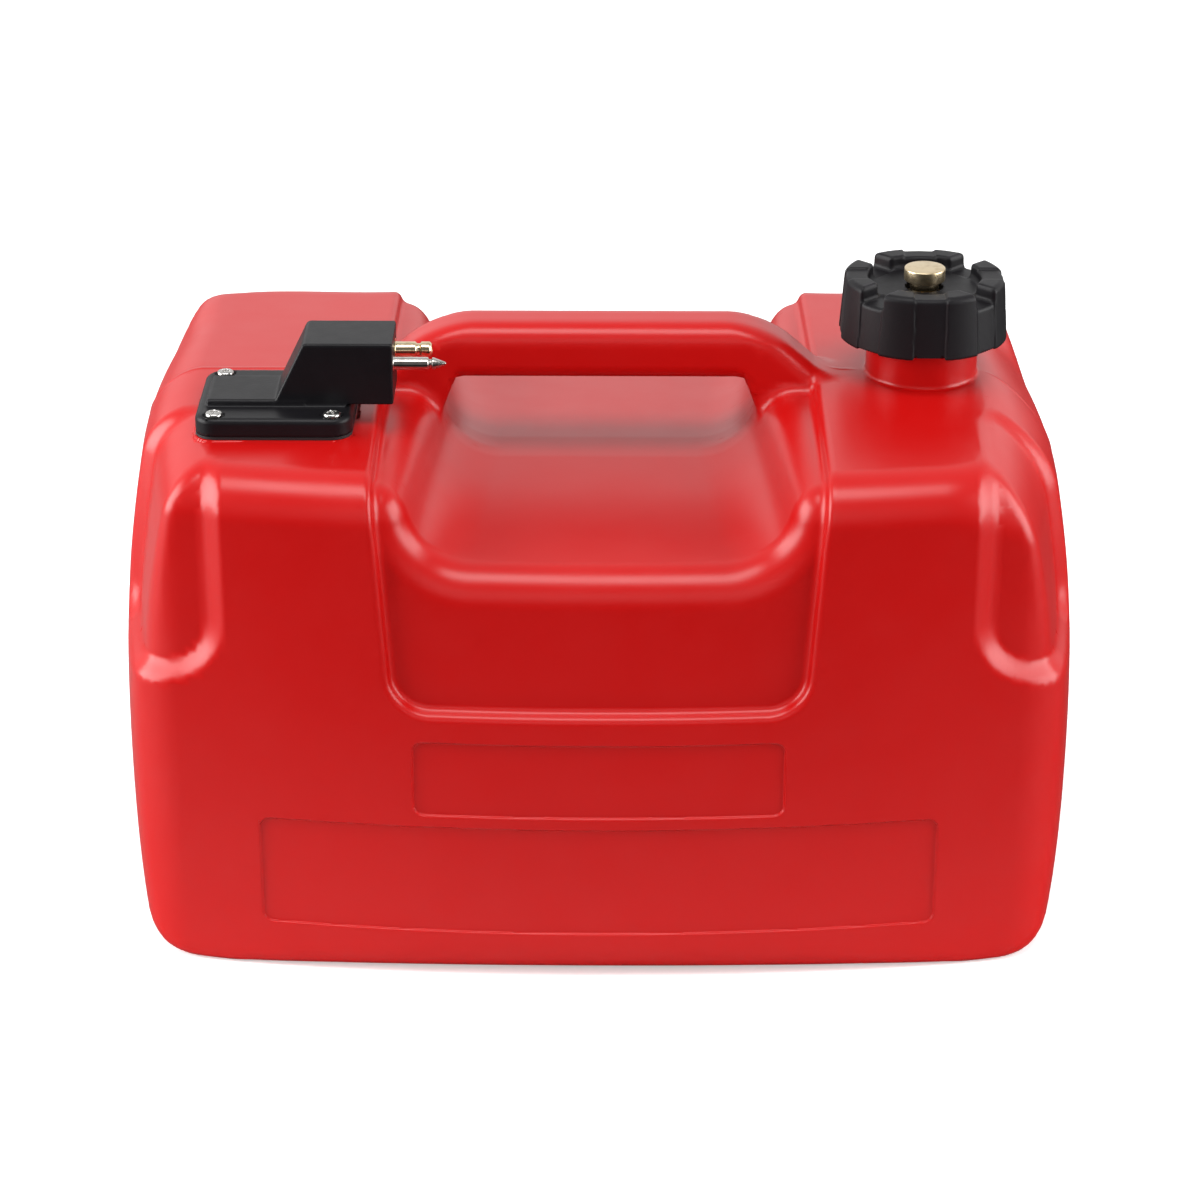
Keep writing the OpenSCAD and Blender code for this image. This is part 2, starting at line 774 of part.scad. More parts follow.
module fuel_spigot() {
    tip = 0.8;
    groove = 2;
    groove_back = 6;
    groove_x = spigot_l - groove_back;
    color("#c9a75a") difference() {
        turned_prong(spigot_y) difference() {
            polygon([[0, -shank_l], [shank_d / 2, -shank_l], [shank_d / 2, 0], [spigot_d / 2, 0],
                     [spigot_d / 2, groove_x], [spigot_d / 2 - 0.7, groove_x + 0.4],
                     [spigot_d / 2 - 0.7, groove_x + groove - 0.4], [spigot_d / 2, groove_x + groove],
                     [spigot_d / 2, spigot_l - tip], [spigot_d / 2 - tip, spigot_l], [0, spigot_l]]);
            translate([shank_d / 2, -shank_l / 2]) square(oring_groove * [2, 1.2], center = true);
        }
        prong_bore(spigot_y, spigot_bore, shank_end - 1, block_right + spigot_l + 1);
    }
}

// Seals the spigot's shank in the block
module spigot_oring() {
    ring_r = (shank_d - oring_groove) / 2;
    color("#151515") turned_prong(spigot_y) translate([ring_r, -shank_l / 2]) circle(d = oring_d);
}

module lock_pin() {
    point = 5;
    neck = 1.6;
    color("#c3c3c6") turned_prong(pin_y)
        polygon([[0, -pin_seat], [pin_shank_d / 2, -pin_seat], [pin_shank_d / 2, 0], [pin_d / 2, 0],
                 [pin_d / 2, pin_l - point - neck],
                 [pin_d / 2 - 0.9, pin_l - point - neck + 0.4], [pin_d / 2 - 0.9, pin_l - point - 0.4],
                 [pin_d / 2, pin_l - point], [0.5, pin_l], [0, pin_l]]);
}

// Brass barb pressed into the stem: its upper rim is the ball's seat, its lower end holds the pickup tube
module pickup_barb() {
    color("#b8963e") at_riser(0) rotate_extrude() difference() {
        polygon([[0, barb_end], [barb_d / 2 - 0.5, barb_end], [barb_d / 2, barb_end + 1],
                 [barb_d / 2, tube_top], [barb_collar_d / 2, tube_top], [barb_collar_d / 2, stem_end],
                 [barb_shank_d / 2, stem_end], [barb_shank_d / 2, barb_top], [0, barb_top]]);
        translate([-1, barb_end - 1]) square([1 + passage_d / 2 - 0.5, barb_top - barb_end + 2]);
        translate([-1, barb_top - 2]) square([1 + passage_d / 2, 3]);
    }
}

module check_ball() {
    color("#d0d0d2") at_riser(ball_z) sphere(d = ball_d);
}

// The closing spring: one round wire wound between the ball and the roof of the valve's chamber
spring_rings = 8;
spring_sides = 6;
spring_pitch = (spring_l - spring_wire) / spring_turns;
function spring_out(i) = [cos(360 * i / spring_rings), sin(360 * i / spring_rings), 0];
function spring_point(i) =
    [passage_x, spigot_y, spring_z + spring_wire / 2 + spring_pitch * i / spring_rings]
    + spring_mean_r * spring_out(i);
function spring_ring(i) =
    [for (k = [0 : spring_sides - 1])
        let (a = 360 * k / spring_sides)
        spring_point(i) + spring_wire / 2 * (cos(a) * spring_out(i) + sin(a) * [0, 0, 1])];
spring_last = spring_turns * spring_rings;
spring_gap = min([for (i = [0 : spring_last - spring_rings])
                  norm(spring_point(i + spring_rings) - spring_point(i))]) - spring_wire;
echo(spring_gap = spring_gap);

module check_spring() {
    s = spring_sides;
    points = [for (i = [0 : spring_last]) each spring_ring(i)];
    walls = [for (i = [0 : spring_last - 1], k = [0 : s - 1])
        let (a = i * s + k, b = i * s + (k + 1) % s) each [[a, b, b + s], [a, b + s, a + s]]];
    start = [for (k = [1 : s - 2]) [0, k + 1, k]];
    last = spring_last * s;
    finish = [for (k = [1 : s - 2]) [last, last + k, last + k + 1]];
    color("#a9a9ab") polyhedron(points, concat(walls, start, finish));
}

module pickup_tube() {
    foot = strainer_top - tube_sink;
    color("#d9d4c3") at_riser(foot) difference() {
        cylinder(d = tube_d, h = tube_top - foot);
        translate([0, 0, -1]) cylinder(d = tube_bore, h = tube_top - foot + 2);
    }
}

module tube_clip() {
    color("#9a9a9c") at_riser(barb_end + (barb_l - clip_band) / 2) difference() {
        cylinder(d = tube_d + 2 * fit + 2 * clip_band_t, h = clip_band);
        translate([0, 0, -1]) cylinder(d = tube_d + 2 * fit, h = clip_band + 2);
    }
}

module strainer_cage() {
    roof_t = 4;
    sill = 1.5;
    window_w = 4.4;
    window_z = strainer_floor_t + sill;
    window_h = strainer_h - roof_t - strainer_floor_t - 2 * sill;
    color("#2b2b2e") at_riser(strainer_z) difference() {
        cylinder(d = strainer_d, h = strainer_h);
        translate([0, 0, strainer_floor_t])
            cylinder(d = strainer_d - 2 * strainer_wall, h = strainer_h - roof_t - strainer_floor_t);
        translate([0, 0, strainer_h - roof_t - 1]) cylinder(d = tube_bore, h = roof_t + 2);
        translate([0, 0, strainer_h - tube_sink]) cylinder(d = tube_d + 2 * fit, h = tube_sink + 1);
        for (i = [0 : strainer_windows - 1])
            rotate(i * 360 / strainer_windows) translate([0, -window_w / 2, window_z])
                cube([strainer_d, window_w, window_h]);
    }
}

// Fine gauze sleeve that lines the cage
module strainer_mesh() {
    out_d = strainer_d - 2 * strainer_wall - 2 * fit;
    color("#c8c3ae") at_riser(strainer_z + strainer_floor_t) difference() {
        cylinder(d = out_d, h = strainer_h - strainer_floor_t - mesh_below_top);
        translate([0, 0, -1]) cylinder(d = out_d - 2 * mesh_t, h = strainer_h);
    }
}

module filler_cap() {
    color("#1d1b1e") difference() {
        at_cap(cap_bottom) cylinder(d1 = cap_low_d, d2 = cap_top_d, h = cap_h);
        at_cap(cap_bottom - 1) cylinder(d = cap_bore_d, h = cap_ceiling - cap_bottom + 1);
        at_cap(cap_floor) cylinder(d = cap_dish_d, h = cap_dish + 1);
        at_cap(cap_ceiling - 1) cylinder(d = bush_d, h = cap_floor - cap_ceiling + 2);
        for (a = [45 : 90 : 315])
            at_cap(cap_top - notch_depth) rotate(a) translate([cap_dish_d / 2 - 2, -notch_w / 2, 0])
                cube([cap_low_d, notch_w, notch_depth + 1]);
        for (a = [0 : 90 : 270])
            at_cap(cap_bottom) rotate(a) translate([cap_low_d / 2 - flute_depth, -flute_w / 2, 0])
                rotate([0, -cap_lean, 0]) {
                    translate([0, 0, -beyond]) cube([beyond, flute_w, cap_h + 2 * beyond]);
                    translate([-beyond / 2, 0, cap_h - flute_depth]) cube([beyond, flute_w, beyond]);
                }
    }
}

module cap_gasket() {
    color("#262628") at_cap(neck_top) difference() {
        cylinder(d = neck_d, h = gasket_t);
        translate([0, 0, -1]) cylinder(d = gasket_in_d, h = gasket_t + 2);
    }
}

module vent_bush() {
    color("#b8963e") difference() {
        union() {
            at_cap(bush_foot) cylinder(d = bush_d, h = cap_floor - bush_foot);
            at_cap(cap_floor) cylinder(d = bush_collar, h = seal_t);
        }
        at_cap(bush_foot - 1) cylinder(d = stem_d, h = seal_z - bush_foot + 2);
    }
}

module vent_seal() {
    color("#1a1a1a") at_cap(seal_z) difference() {
        cylinder(d = bush_d, h = seal_t);
        translate([0, 0, -1]) cylinder(d = stem_d, h = seal_t + 2);
    }
}

module vent_knob() {
    r = knob_d / 2;
    stem_r = stem_d / 2 - fit;
    groove_r = clip_groove_d / 2;
    color("#c8b07a") at_cap(0) rotate_extrude()
        polygon([[0, stem_foot], [stem_r, stem_foot], [stem_r, clip_z], [groove_r, clip_z],
                 [groove_r, clip_z + clip_t], [stem_r, clip_z + clip_t], [stem_r, knob_neck_z],
                 [bush_d / 2, knob_neck_z], [bush_d / 2, knob_z], [r - knob_edge, knob_z],
                 [r, knob_z + knob_edge], [r, knob_z + knob_h - knob_edge], [r - knob_edge, knob_z + knob_h],
                 [0, knob_z + knob_h]]);
}

// Open ring that keeps the vent screw in the cap
module vent_clip() {
    color("#8f8f92") at_cap(clip_z) difference() {
        cylinder(d = bush_d, h = clip_t);
        translate([0, 0, -1]) cylinder(d = clip_groove_d, h = clip_t + 2);
        translate([0, -clip_groove_d / 4, -1]) cube([bush_d, clip_groove_d / 2, clip_t + 2]);
    }
}

tank_shell();
thread_inserts();
outlet_gasket();
outlet_body();
flange_screws();
fuel_spigot();
spigot_oring();
lock_pin();
pickup_barb();
check_ball();
check_spring();
pickup_tube();
tube_clip();
strainer_cage();
strainer_mesh();
filler_cap();
cap_gasket();
vent_bush();
vent_seal();
vent_knob();
vent_clip();
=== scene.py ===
# %% [markdown]
# # A portable fuel tank
# The tank is one hollow blow moulding in red polyethylene that carries its own handle and filler neck.
# A black screw cap with a brass vent screw closes it, and a bolted black outlet with two metal prongs
# feeds a hose.
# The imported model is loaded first, because it fixes where every piece goes and how it moves.
# Shapes below are worked out in millimetres in that same frame and turned to metres when a mesh is made.

import math

import bmesh
import bpy
import numpy as np
from mathutils import Matrix, Vector


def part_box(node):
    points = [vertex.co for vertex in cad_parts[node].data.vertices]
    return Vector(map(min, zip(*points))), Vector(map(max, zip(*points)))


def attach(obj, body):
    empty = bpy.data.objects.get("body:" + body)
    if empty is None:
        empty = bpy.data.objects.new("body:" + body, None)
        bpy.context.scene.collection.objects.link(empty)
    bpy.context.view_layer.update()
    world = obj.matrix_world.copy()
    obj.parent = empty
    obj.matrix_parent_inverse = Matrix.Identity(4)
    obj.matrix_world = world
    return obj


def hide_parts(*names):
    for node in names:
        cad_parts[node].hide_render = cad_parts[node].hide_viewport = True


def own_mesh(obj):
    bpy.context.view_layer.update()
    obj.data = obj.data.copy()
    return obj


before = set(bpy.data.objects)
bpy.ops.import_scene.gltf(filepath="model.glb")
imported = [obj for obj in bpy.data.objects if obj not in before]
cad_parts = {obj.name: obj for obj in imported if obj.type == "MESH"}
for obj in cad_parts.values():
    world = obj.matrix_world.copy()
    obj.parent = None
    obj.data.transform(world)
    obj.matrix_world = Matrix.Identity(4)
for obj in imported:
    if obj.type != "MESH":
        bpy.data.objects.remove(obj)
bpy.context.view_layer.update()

# Millimetres in a metre
MM = 1000


def box_mm(node):
    """Lowest and highest corner of a solid, in millimetres."""
    low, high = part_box(node)
    return np.array(low) * MM, np.array(high) * MM


def put(name, data):
    """A new object in the scene that holds some data."""
    made = bpy.data.objects.new(name, data)
    bpy.context.scene.collection.objects.link(made)
    return made


print("solids in the frame:", len(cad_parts))

# %% [markdown]
# ## Camera
# The view was worked out from edges of known size: the tank is seen from straight in front and about
# 24 degrees above, from far enough away that its front and rear edges stay almost parallel.
# A Track To constraint could aim the camera, but it would level it. The three axes are built directly
# instead, so that the slight roll of the picture is kept.

# %% Camera
LENS_PX = 3472
FRAME_PX = 1200
SENSOR_MM = 36.0
TILT = math.radians(24.272)
ROLL = math.radians(0.156)
DISTANCE = 1.38285
AIM = Vector((0.000265, 0.0, 0.1048))

back = Vector((0.0, -math.cos(TILT), math.sin(TILT)))
level = Vector((1.0, 0.0, 0.0))
upright = back.cross(level)
across = math.cos(ROLL) * level + math.sin(ROLL) * upright
above = back.cross(across)
camera_spot = AIM + back * DISTANCE

camera_data = bpy.data.cameras.new("photo_camera")
camera_data.sensor_width = SENSOR_MM
camera_data.lens = LENS_PX * SENSOR_MM / FRAME_PX
camera = put("photo_camera", camera_data)
camera.matrix_world = Matrix(
    [[across[i], above[i], back[i], camera_spot[i]] for i in range(3)] + [[0, 0, 0, 1]]
)
bpy.context.scene.camera = camera
print("camera stands at", [round(v, 3) for v in camera_spot])

# %% [markdown]
# ## Finishes
# A few small helpers serve every material. One turns a written sRGB colour to the linear values that
# Blender works with, one adds a node with its settings and its links, and two begin and end a material.
# Patterns read Object coordinates, which are metres in the tank's own frame, so a scale of 1000 divided by
# a size in millimetres gives a pattern of that size.

# %% Helpers for materials


def linear(code):
    """An sRGB hex colour as linear red, green, blue and alpha."""
    parts = [int(code[i : i + 2], 16) / 255 for i in (1, 3, 5)]
    return [p / 12.92 if p <= 0.04045 else ((p + 0.055) / 1.055) ** 2.4 for p in parts] + [1.0]


def add(tree, kind, inputs=None, **settings):
    """Add one node. An input that is a socket is linked, and any other value is set."""
    made = tree.nodes.new(kind)
    for key, value in settings.items():
        setattr(made, key, value)
    for key, value in (inputs or {}).items():
        if isinstance(value, bpy.types.NodeSocket):
            tree.links.new(value, made.inputs[key])
        else:
            made.inputs[key].default_value = value
    return made


def begin(name):
    """A new material with its shader, and the Object coordinates that its patterns read."""
    made = bpy.data.materials.new(name)
    made.use_nodes = True
    tree = made.node_tree
    spot = add(tree, "ShaderNodeTexCoord").outputs["Object"]
    return made, tree, tree.nodes["Principled BSDF"], spot


def dress(tree, shader, colour, roughness, normal):
    """Join the colour, roughness and relief of a finish to its shader."""
    tree.links.new(colour, shader.inputs["Base Color"])
    tree.links.new(roughness, shader.inputs["Roughness"])
    tree.links.new(normal, shader.inputs["Normal"])


# A Mix node uses the same names for numbers, vectors and colours, so its colour sockets are picked by number
MIX_A, MIX_B, MIX_OUT = 6, 7, 2
print("mid grey as linear light:", round(linear("#808080")[0], 3))

# %% [markdown]
# ### Moulded plastics
# Blow-moulded polyethylene has a waxy satin skin. The mould leaves a faint grain, the sheen is a little
# uneven because the wall cooled unevenly, and raised edges are polished paler by handling.
# The cap and the outlet are injection moulded: a finer grain and a darker, drier look, from the same nodes.
# The real grain is about 0.3 mm. It is drawn coarser here so that it shows at the size of the picture.

# %% Moulded plastics


def moulded(name, colour, deep, worn, rough, grain_mm, grain_depth, cloud_mm, gleam=0.2):
    """Satin plastic: cloudy colour, worn edges, uneven sheen and a moulded grain."""
    made, tree, shader, spot = begin(name)
    sheen_mm = cloud_mm / 4
    uneven = 0.02
    cloud = add(tree, "ShaderNodeTexNoise", {"Vector": spot, "Scale": MM / cloud_mm, "Detail": 3.0})
    body = add(
        tree,
        "ShaderNodeMix",
        {"Factor": cloud.outputs["Fac"], MIX_A: linear(deep), MIX_B: linear(colour)},
        data_type="RGBA",
    )
    bend = add(tree, "ShaderNodeNewGeometry").outputs["Pointiness"]
    edge = add(
        tree,
        "ShaderNodeMapRange",
        {"Value": bend, "From Min": 0.54, "From Max": 0.66, "To Min": 0.0, "To Max": 0.35},
    )
    skin = add(
        tree,
        "ShaderNodeMix",
        {"Factor": edge.outputs["Result"], MIX_A: body.outputs[MIX_OUT], MIX_B: linear(worn)},
        data_type="RGBA",
    )
    grain = add(tree, "ShaderNodeTexNoise", {"Vector": spot, "Scale": MM / grain_mm, "Detail": 2.0})
    sheen = add(tree, "ShaderNodeTexNoise", {"Vector": spot, "Scale": MM / sheen_mm, "Detail": 4.0})
    gloss = add(
        tree,
        "ShaderNodeMapRange",
        {
            "Value": sheen.outputs["Fac"],
            "From Min": 0.3,
            "From Max": 0.7,
            "To Min": rough - uneven,
            "To Max": rough + uneven,
        },
    )
    relief = add(
        tree,
        "ShaderNodeBump",
        {"Height": grain.outputs["Fac"], "Strength": 0.35, "Distance": grain_depth / MM},
    )
    dress(tree, shader, skin.outputs[MIX_OUT], gloss.outputs["Result"], relief.outputs["Normal"])
    shader.inputs["IOR"].default_value = 1.5
    shader.inputs["Specular IOR Level"].default_value = gleam
    return made


red_polyethylene = moulded("red_polyethylene", "#AF0807", "#AA0706", "#B51210", 0.31, 1.1, 0.012, 70, 0.4)
black_polyethylene = moulded("black_polyethylene", "#151316", "#0F0E10", "#2C292D", 0.46, 0.8, 0.10, 25)
black_nylon = moulded("glass_filled_nylon", "#121114", "#0D0C0E", "#28262A", 0.40, 0.7, 0.12, 20)
natural_nylon = moulded("natural_nylon", "#DAD5C2", "#CFC8B2", "#E6E2D3", 0.38, 0.9, 0.06, 18)
print("plastics:", red_polyethylene.name, black_polyethylene.name, black_nylon.name, natural_nylon.name)

# %% [markdown]
# ### Turned metals
# The vent screw and the fuel prong are turned brass, the locking prong is turned steel. A lathe leaves fine
# circles: rings on the flat ends and lines round the sides, which stretch the highlight along them.
# Each comes from a wave pattern: one reads the distance from the axis, the other the way along it.

# %% Turned metals
STAIN_MM = 3.0
LATHE_MARK_MM = 0.04
# Blender's wave pattern runs through 20 radians in one unit at a scale of 1
WAVE_RATE = 20


def turned_metal(name, colour, tarnish, rough, centre, axis, line_mm):
    """Bright turned metal about an axis through a point in millimetres."""
    made, tree, shader, spot = begin(name)
    offset = [-c / MM for c in centre]
    local = add(tree, "ShaderNodeMapping", {"Vector": spot, "Location": offset}).outputs["Vector"]
    wave = {"Vector": local, "Scale": MM / line_mm / WAVE_RATE * math.tau, "Distortion": 0.4, "Detail": 1.0}
    rings = add(tree, "ShaderNodeTexWave", wave, wave_type="RINGS", rings_direction=axis)
    lines = add(tree, "ShaderNodeTexWave", wave, wave_type="BANDS", bands_direction=axis)
    marks = add(
        tree, "ShaderNodeMath", {0: rings.outputs["Fac"], 1: lines.outputs["Fac"]}, operation="ADD"
    ).outputs["Value"]
    spots = add(tree, "ShaderNodeTexNoise", {"Vector": spot, "Scale": MM / STAIN_MM, "Detail": 4.0})
    stain = add(
        tree,
        "ShaderNodeMapRange",
        {"Value": spots.outputs["Fac"], "From Min": 0.45, "From Max": 0.75, "To Min": 0.0, "To Max": 0.6},
    )
    skin = add(
        tree,
        "ShaderNodeMix",
        {"Factor": stain.outputs["Result"], MIX_A: linear(colour), MIX_B: linear(tarnish)},
        data_type="RGBA",
    )
    gloss = add(
        tree,
        "ShaderNodeMapRange",
        {"Value": marks, "From Min": 0.0, "From Max": 2.0, "To Min": rough - 0.06, "To Max": rough + 0.08},
    )
    relief = add(tree, "ShaderNodeBump", {"Height": marks, "Strength": 0.12, "Distance": LATHE_MARK_MM / MM})
    dress(tree, shader, skin.outputs[MIX_OUT], gloss.outputs["Result"], relief.outputs["Normal"])
    shader.inputs["Metallic"].default_value = 1.0
    return made


knob_low, knob_high = box_mm("vent_knob")
spigot_low, spigot_high = box_mm("fuel_spigot")
pin_low, pin_high = box_mm("lock_pin")
cap_axis = (knob_low + knob_high) / 2
spigot_axis = (spigot_low + spigot_high) / 2
pin_axis = (pin_low + pin_high) / 2
vent_brass = turned_metal("turned_brass_vent", "#DCC9A6", "#B89F74", 0.28, cap_axis, "Z", 0.5)
prong_brass = turned_metal("turned_brass_prong", "#E6D4B2", "#B99F70", 0.22, spigot_axis, "X", 0.6)
prong_steel = turned_metal("turned_steel_prong", "#C9C4BF", "#8C8681", 0.22, pin_axis, "X", 0.6)
print("metals:", vent_brass.name, prong_brass.name, prong_steel.name)

# %% [markdown]
# ### Plated screws, springs, bar brass and rubber
# Zinc plating is bright but slightly cloudy, with no lathe marks. Spring wire is duller, and rubber is nearly
# black, dry and dusty. The bar brass is rougher, and its colour is painted far darker than bright brass as
# painted shade, so that the bush under the vent screw reads as shade in the cap's dish. One fine noise
# serves them all: it mixes two shades of the colour, varies the roughness and gives a faint relief.

# %% Plated steel and rubber
FLECK_DEPTH_MM = 0.05


def plain_finish(name, colour, dull, rough, metal, fleck_mm):
    """A finish with a faint fleck, for small metal or rubber pieces."""
    made, tree, shader, spot = begin(name)
    noise = add(tree, "ShaderNodeTexNoise", {"Vector": spot, "Scale": MM / fleck_mm, "Detail": 4.0})
    fleck = noise.outputs["Fac"]
    skin = add(
        tree,
        "ShaderNodeMix",
        {"Factor": fleck, MIX_A: linear(dull), MIX_B: linear(colour)},
        data_type="RGBA",
    )
    gloss = add(
        tree,
        "ShaderNodeMapRange",
        {"Value": fleck, "From Min": 0.3, "From Max": 0.7, "To Min": rough + 0.08, "To Max": rough - 0.04},
    )
    relief = add(tree, "ShaderNodeBump", {"Height": fleck, "Strength": 0.15, "Distance": FLECK_DEPTH_MM / MM})
    dress(tree, shader, skin.outputs[MIX_OUT], gloss.outputs["Result"], relief.outputs["Normal"])
    shader.inputs["Metallic"].default_value = metal
    return made


zinc_plate = plain_finish("zinc_plated_steel", "#D2D0CD", "#A7A4A0", 0.24, 1.0, 1.2)
spring_steel = plain_finish("spring_steel", "#B4B2AF", "#8B8986", 0.30, 1.0, 1.0)
# Bar brass colour painted dark: painted shade for the bush deep in the cap's dish
shade_darkened_brass = plain_finish("shade_darkened_bar_brass", "#8A7444", "#6B5832", 0.36, 1.0, 2.0)
nitrile_rubber = plain_finish("nitrile_rubber", "#1A1A1C", "#111113", 0.62, 0.0, 1.5)
print("small finishes:", zinc_plate.name, spring_steel.name, shade_darkened_brass.name, nitrile_rubber.name)

# %% [markdown]
# ## Rounded forms as fields
# A blow moulding has no sharp edge anywhere, so boxes with bevels would never look right. Instead each big
# piece is written as a field: a function of place that is negative inside, positive outside, and close to
# the true distance. Walls are joined with round_max, which leaves an edge of a chosen radius, and lumps
# flow together with soft_min.

# %% Blends


def soft_max(a, b, k):
    """The larger of two fields, with a blend of width k."""
    h = np.clip(0.5 + 0.5 * (a - b) / k, 0, 1)
    return b * (1 - h) + a * h + k * h * (1 - h)


def soft_min(a, b, k):
    """The smaller of two fields, with a fillet of width k."""
    return -soft_max(-a, -b, k)


def round_max(a, b, r):
    """Where two walls meet: an edge of radius r."""
    return np.minimum(np.maximum(a, b), -r) + np.hypot(np.maximum(a + r, 0), np.maximum(b + r, 0))


def carve(body, hollow, r):
    """A body with a hollow taken out and a lip of radius r."""
    return round_max(body, -hollow, r)


def ramp(value, start, end):
    """A straight rise from 0 at the start to 1 at the end."""
    return np.clip((value - start) / (end - start), 0, 1)


def rise(value, start, end):
    """The same rise, made smooth at both ends."""
    t = ramp(value, start, end)
    return t * t * (3 - 2 * t)


print("an edge of radius 10 stands back from its sharp corner by", round(round_max(0.0, 0.0, 10.0), 2))

# %% [markdown]
# ### Laying a skin
# A skin is laid over the places where a field is zero. Every small cell that the surface crosses gets one
# point, and neighbours are joined to quads (surface nets). The points are then pulled exactly on to the
# surface by a few Newton steps along the field's slope, so the mesh is even and follows every fillet.

# %% Skin over a field
# A length that counts as nothing, so that no division fails
NEAR_ZERO = 1e-6


def slope_of(field, points, step=0.02):
    """Gradient of a field at some points."""
    columns = []
    for axis in range(3):
        move = np.zeros(3)
        move[axis] = step
        columns.append((field(*(points + move).T) - field(*(points - move).T)) / (2 * step))
    return np.stack(columns, 1)


def settle(field, points, rounds=4, most=1.5):
    """Points moved on to the surface along the slope, never more than a little at a time."""
    for _ in range(rounds):
        slope = slope_of(field, points)
        step = field(*points.T)[:, None] * slope / np.maximum((slope**2).sum(1), NEAR_ZERO)[:, None]
        length = np.linalg.norm(step, axis=1)
        points = points - step * np.minimum(1, most / np.maximum(length, NEAR_ZERO))[:, None]
    return points


def lay_skin(field, low, high, cell):
    """Points and quads of a skin over the zero of a field."""
    axes = [np.arange(a, b + cell, cell) for a, b in zip(low, high)]
    values = np.empty([len(a) for a in axes], np.float32)
    grid_y, grid_z = np.meshgrid(axes[1], axes[2], indexing="ij")
    for i, x in enumerate(axes[0]):
        values[i] = field(np.full_like(grid_y, x), grid_y, grid_z)
    inside = values < 0
    # The surface crosses a cell when some of its eight corners are inside and some are not
    count = np.zeros([n - 1 for n in values.shape], np.int8)
    for dx, dy, dz in np.ndindex(2, 2, 2):
        count += inside[dx : dx + count.shape[0], dy : dy + count.shape[1], dz : dz + count.shape[2]]
    crossed = (count > 0) & (count < 8)
    index = np.full(count.shape, -1)
    index[crossed] = np.arange(crossed.sum())
    points = np.array(low) + (np.argwhere(crossed) + 0.5) * cell
    # Each grid edge that leaves or enters the body joins the points of the four cells round it
    quads = []
    for axis in range(3):
        first = [slice(None)] * 3
        last = [slice(None)] * 3
        first[axis] = slice(0, -1)
        last[axis] = slice(1, None)
        leaving = inside[tuple(first)]
        edges = np.argwhere(leaving != inside[tuple(last)])
        u, w = (axis + 1) % 3, (axis + 2) % 3
        corners = []
        for du, dw in ((-1, -1), (0, -1), (0, 0), (-1, 0)):
            at = edges.copy()
            at[:, u] += du
            at[:, w] += dw
            corners.append(index[at[:, 0], at[:, 1], at[:, 2]])
        ring = np.stack(corners, 1)
        turned = ~leaving[tuple(edges.T)]
        ring[turned] = ring[turned][:, ::-1]
        quads.append(ring)
    return settle(field, points), np.concatenate(quads)


ball_points, ball_faces = lay_skin(lambda x, y, z: np.hypot(np.hypot(x, y), z) - 5, [-6] * 3, [6] * 3, 1.0)
print("a ball of radius 5 in cells of 1 gets", len(ball_points), "points and", len(ball_faces), "quads")

# %% [markdown]
# ### From points to pieces
# Even cells waste points on flat walls or starve the fine edges, so chosen faces are split further and
# settled again. A finished piece takes its normals from the field itself, which keeps highlights smooth
# where the mesh is coarse. It then gets its material, rides on its body and hides the solids it stands for.

# %% Making pieces


def plain_mesh(name, points, faces):
    """A mesh from points and faces, in the points' own unit."""
    mesh = bpy.data.meshes.new(name)
    mesh.from_pydata(points.tolist(), [], [list(map(int, f)) for f in faces])
    return mesh


def refine(points, faces, pick, cuts):
    """Split the faces whose middles are picked, so that a fine edge gets enough points."""
    mesh = plain_mesh("refining", points, faces)
    work = bmesh.new()
    work.from_mesh(mesh)
    work.faces.ensure_lookup_table()
    middles = np.array([f.calc_center_median() for f in work.faces])
    chosen = {e for i in np.flatnonzero(pick(*middles.T)) for e in work.faces[i].edges}
    bmesh.ops.subdivide_edges(work, edges=list(chosen), cuts=cuts, use_grid_fill=True)
    work.verts.ensure_lookup_table()
    new_points = np.array([v.co for v in work.verts])
    new_faces = [[v.index for v in f.verts] for f in work.faces]
    work.free()
    bpy.data.meshes.remove(mesh)
    return new_points, new_faces


def make_piece(name, points, faces, material, body, slot, *nodes, field=None):
    """A smooth mesh piece in metres that rides on a body and stands for some solids."""
    mesh = plain_mesh(name, points / MM, faces)
    mesh.materials.append(material)
    mesh.shade_smooth()
    if field is not None:
        slope = slope_of(field, points)
        slope /= np.maximum(np.linalg.norm(slope, axis=1), NEAR_ZERO)[:, None]
        mesh.normals_split_custom_set_from_vertices(slope.tolist())
    piece = put(name, mesh)
    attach(piece, body)
    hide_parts(*nodes)
    print(name, "faces:", len(mesh.polygons))


ball_points, ball_faces = refine(ball_points, ball_faces, lambda x, y, z: z > 0, cuts=1)
print("with its upper half split once, the ball has", len(ball_faces), "faces")

# %% [markdown]
# ## The tank's outline
# Seen from above the tank is made of wide arcs with rounded corners: bowed faces and gently rounded ends,
# which are flatter in their rear half. Seen from the front the ends bulge like a barrel, the right one
# more than the left, and the deck falls a little from the parting line to both sides.
# A cage of points under a Subdivision Surface could be pulled into this form, but arcs of measured radii
# keep every wall where the photo shows it.

# %% Body field
HALF_L = 185.6
DECK = 203.3
DECK_FALL = math.tan(math.radians(1.6))
END_R = 440.0
REAR_END_R = 760.0
BARREL_R = {"left": 570.0, "right": 500.0}
BARREL_Z = 74.0
BARREL_BLEND = 4.0
HALF_W = 119.0
FACE_R = 780.0
FRONT_CORNER_R = 28.0
REAR_CORNER_R = 26.0
FACE_C = np.array([0.0, HALF_W - FACE_R])
END_C = np.array([HALF_L - END_R, 0.0])
REAR_END_C = np.array([HALF_L - REAR_END_R, 0.0])


def arcs_meet(p, p_r, q, q_r):
    """The point at given distances from two centres, to the right of the line between them."""
    gap = np.linalg.norm(q - p)
    along = (q - p) / gap
    reach = (p_r**2 - q_r**2 + gap**2) / (2 * gap)
    return p + reach * along + math.sqrt(p_r**2 - reach**2) * np.array([along[1], -along[0]])


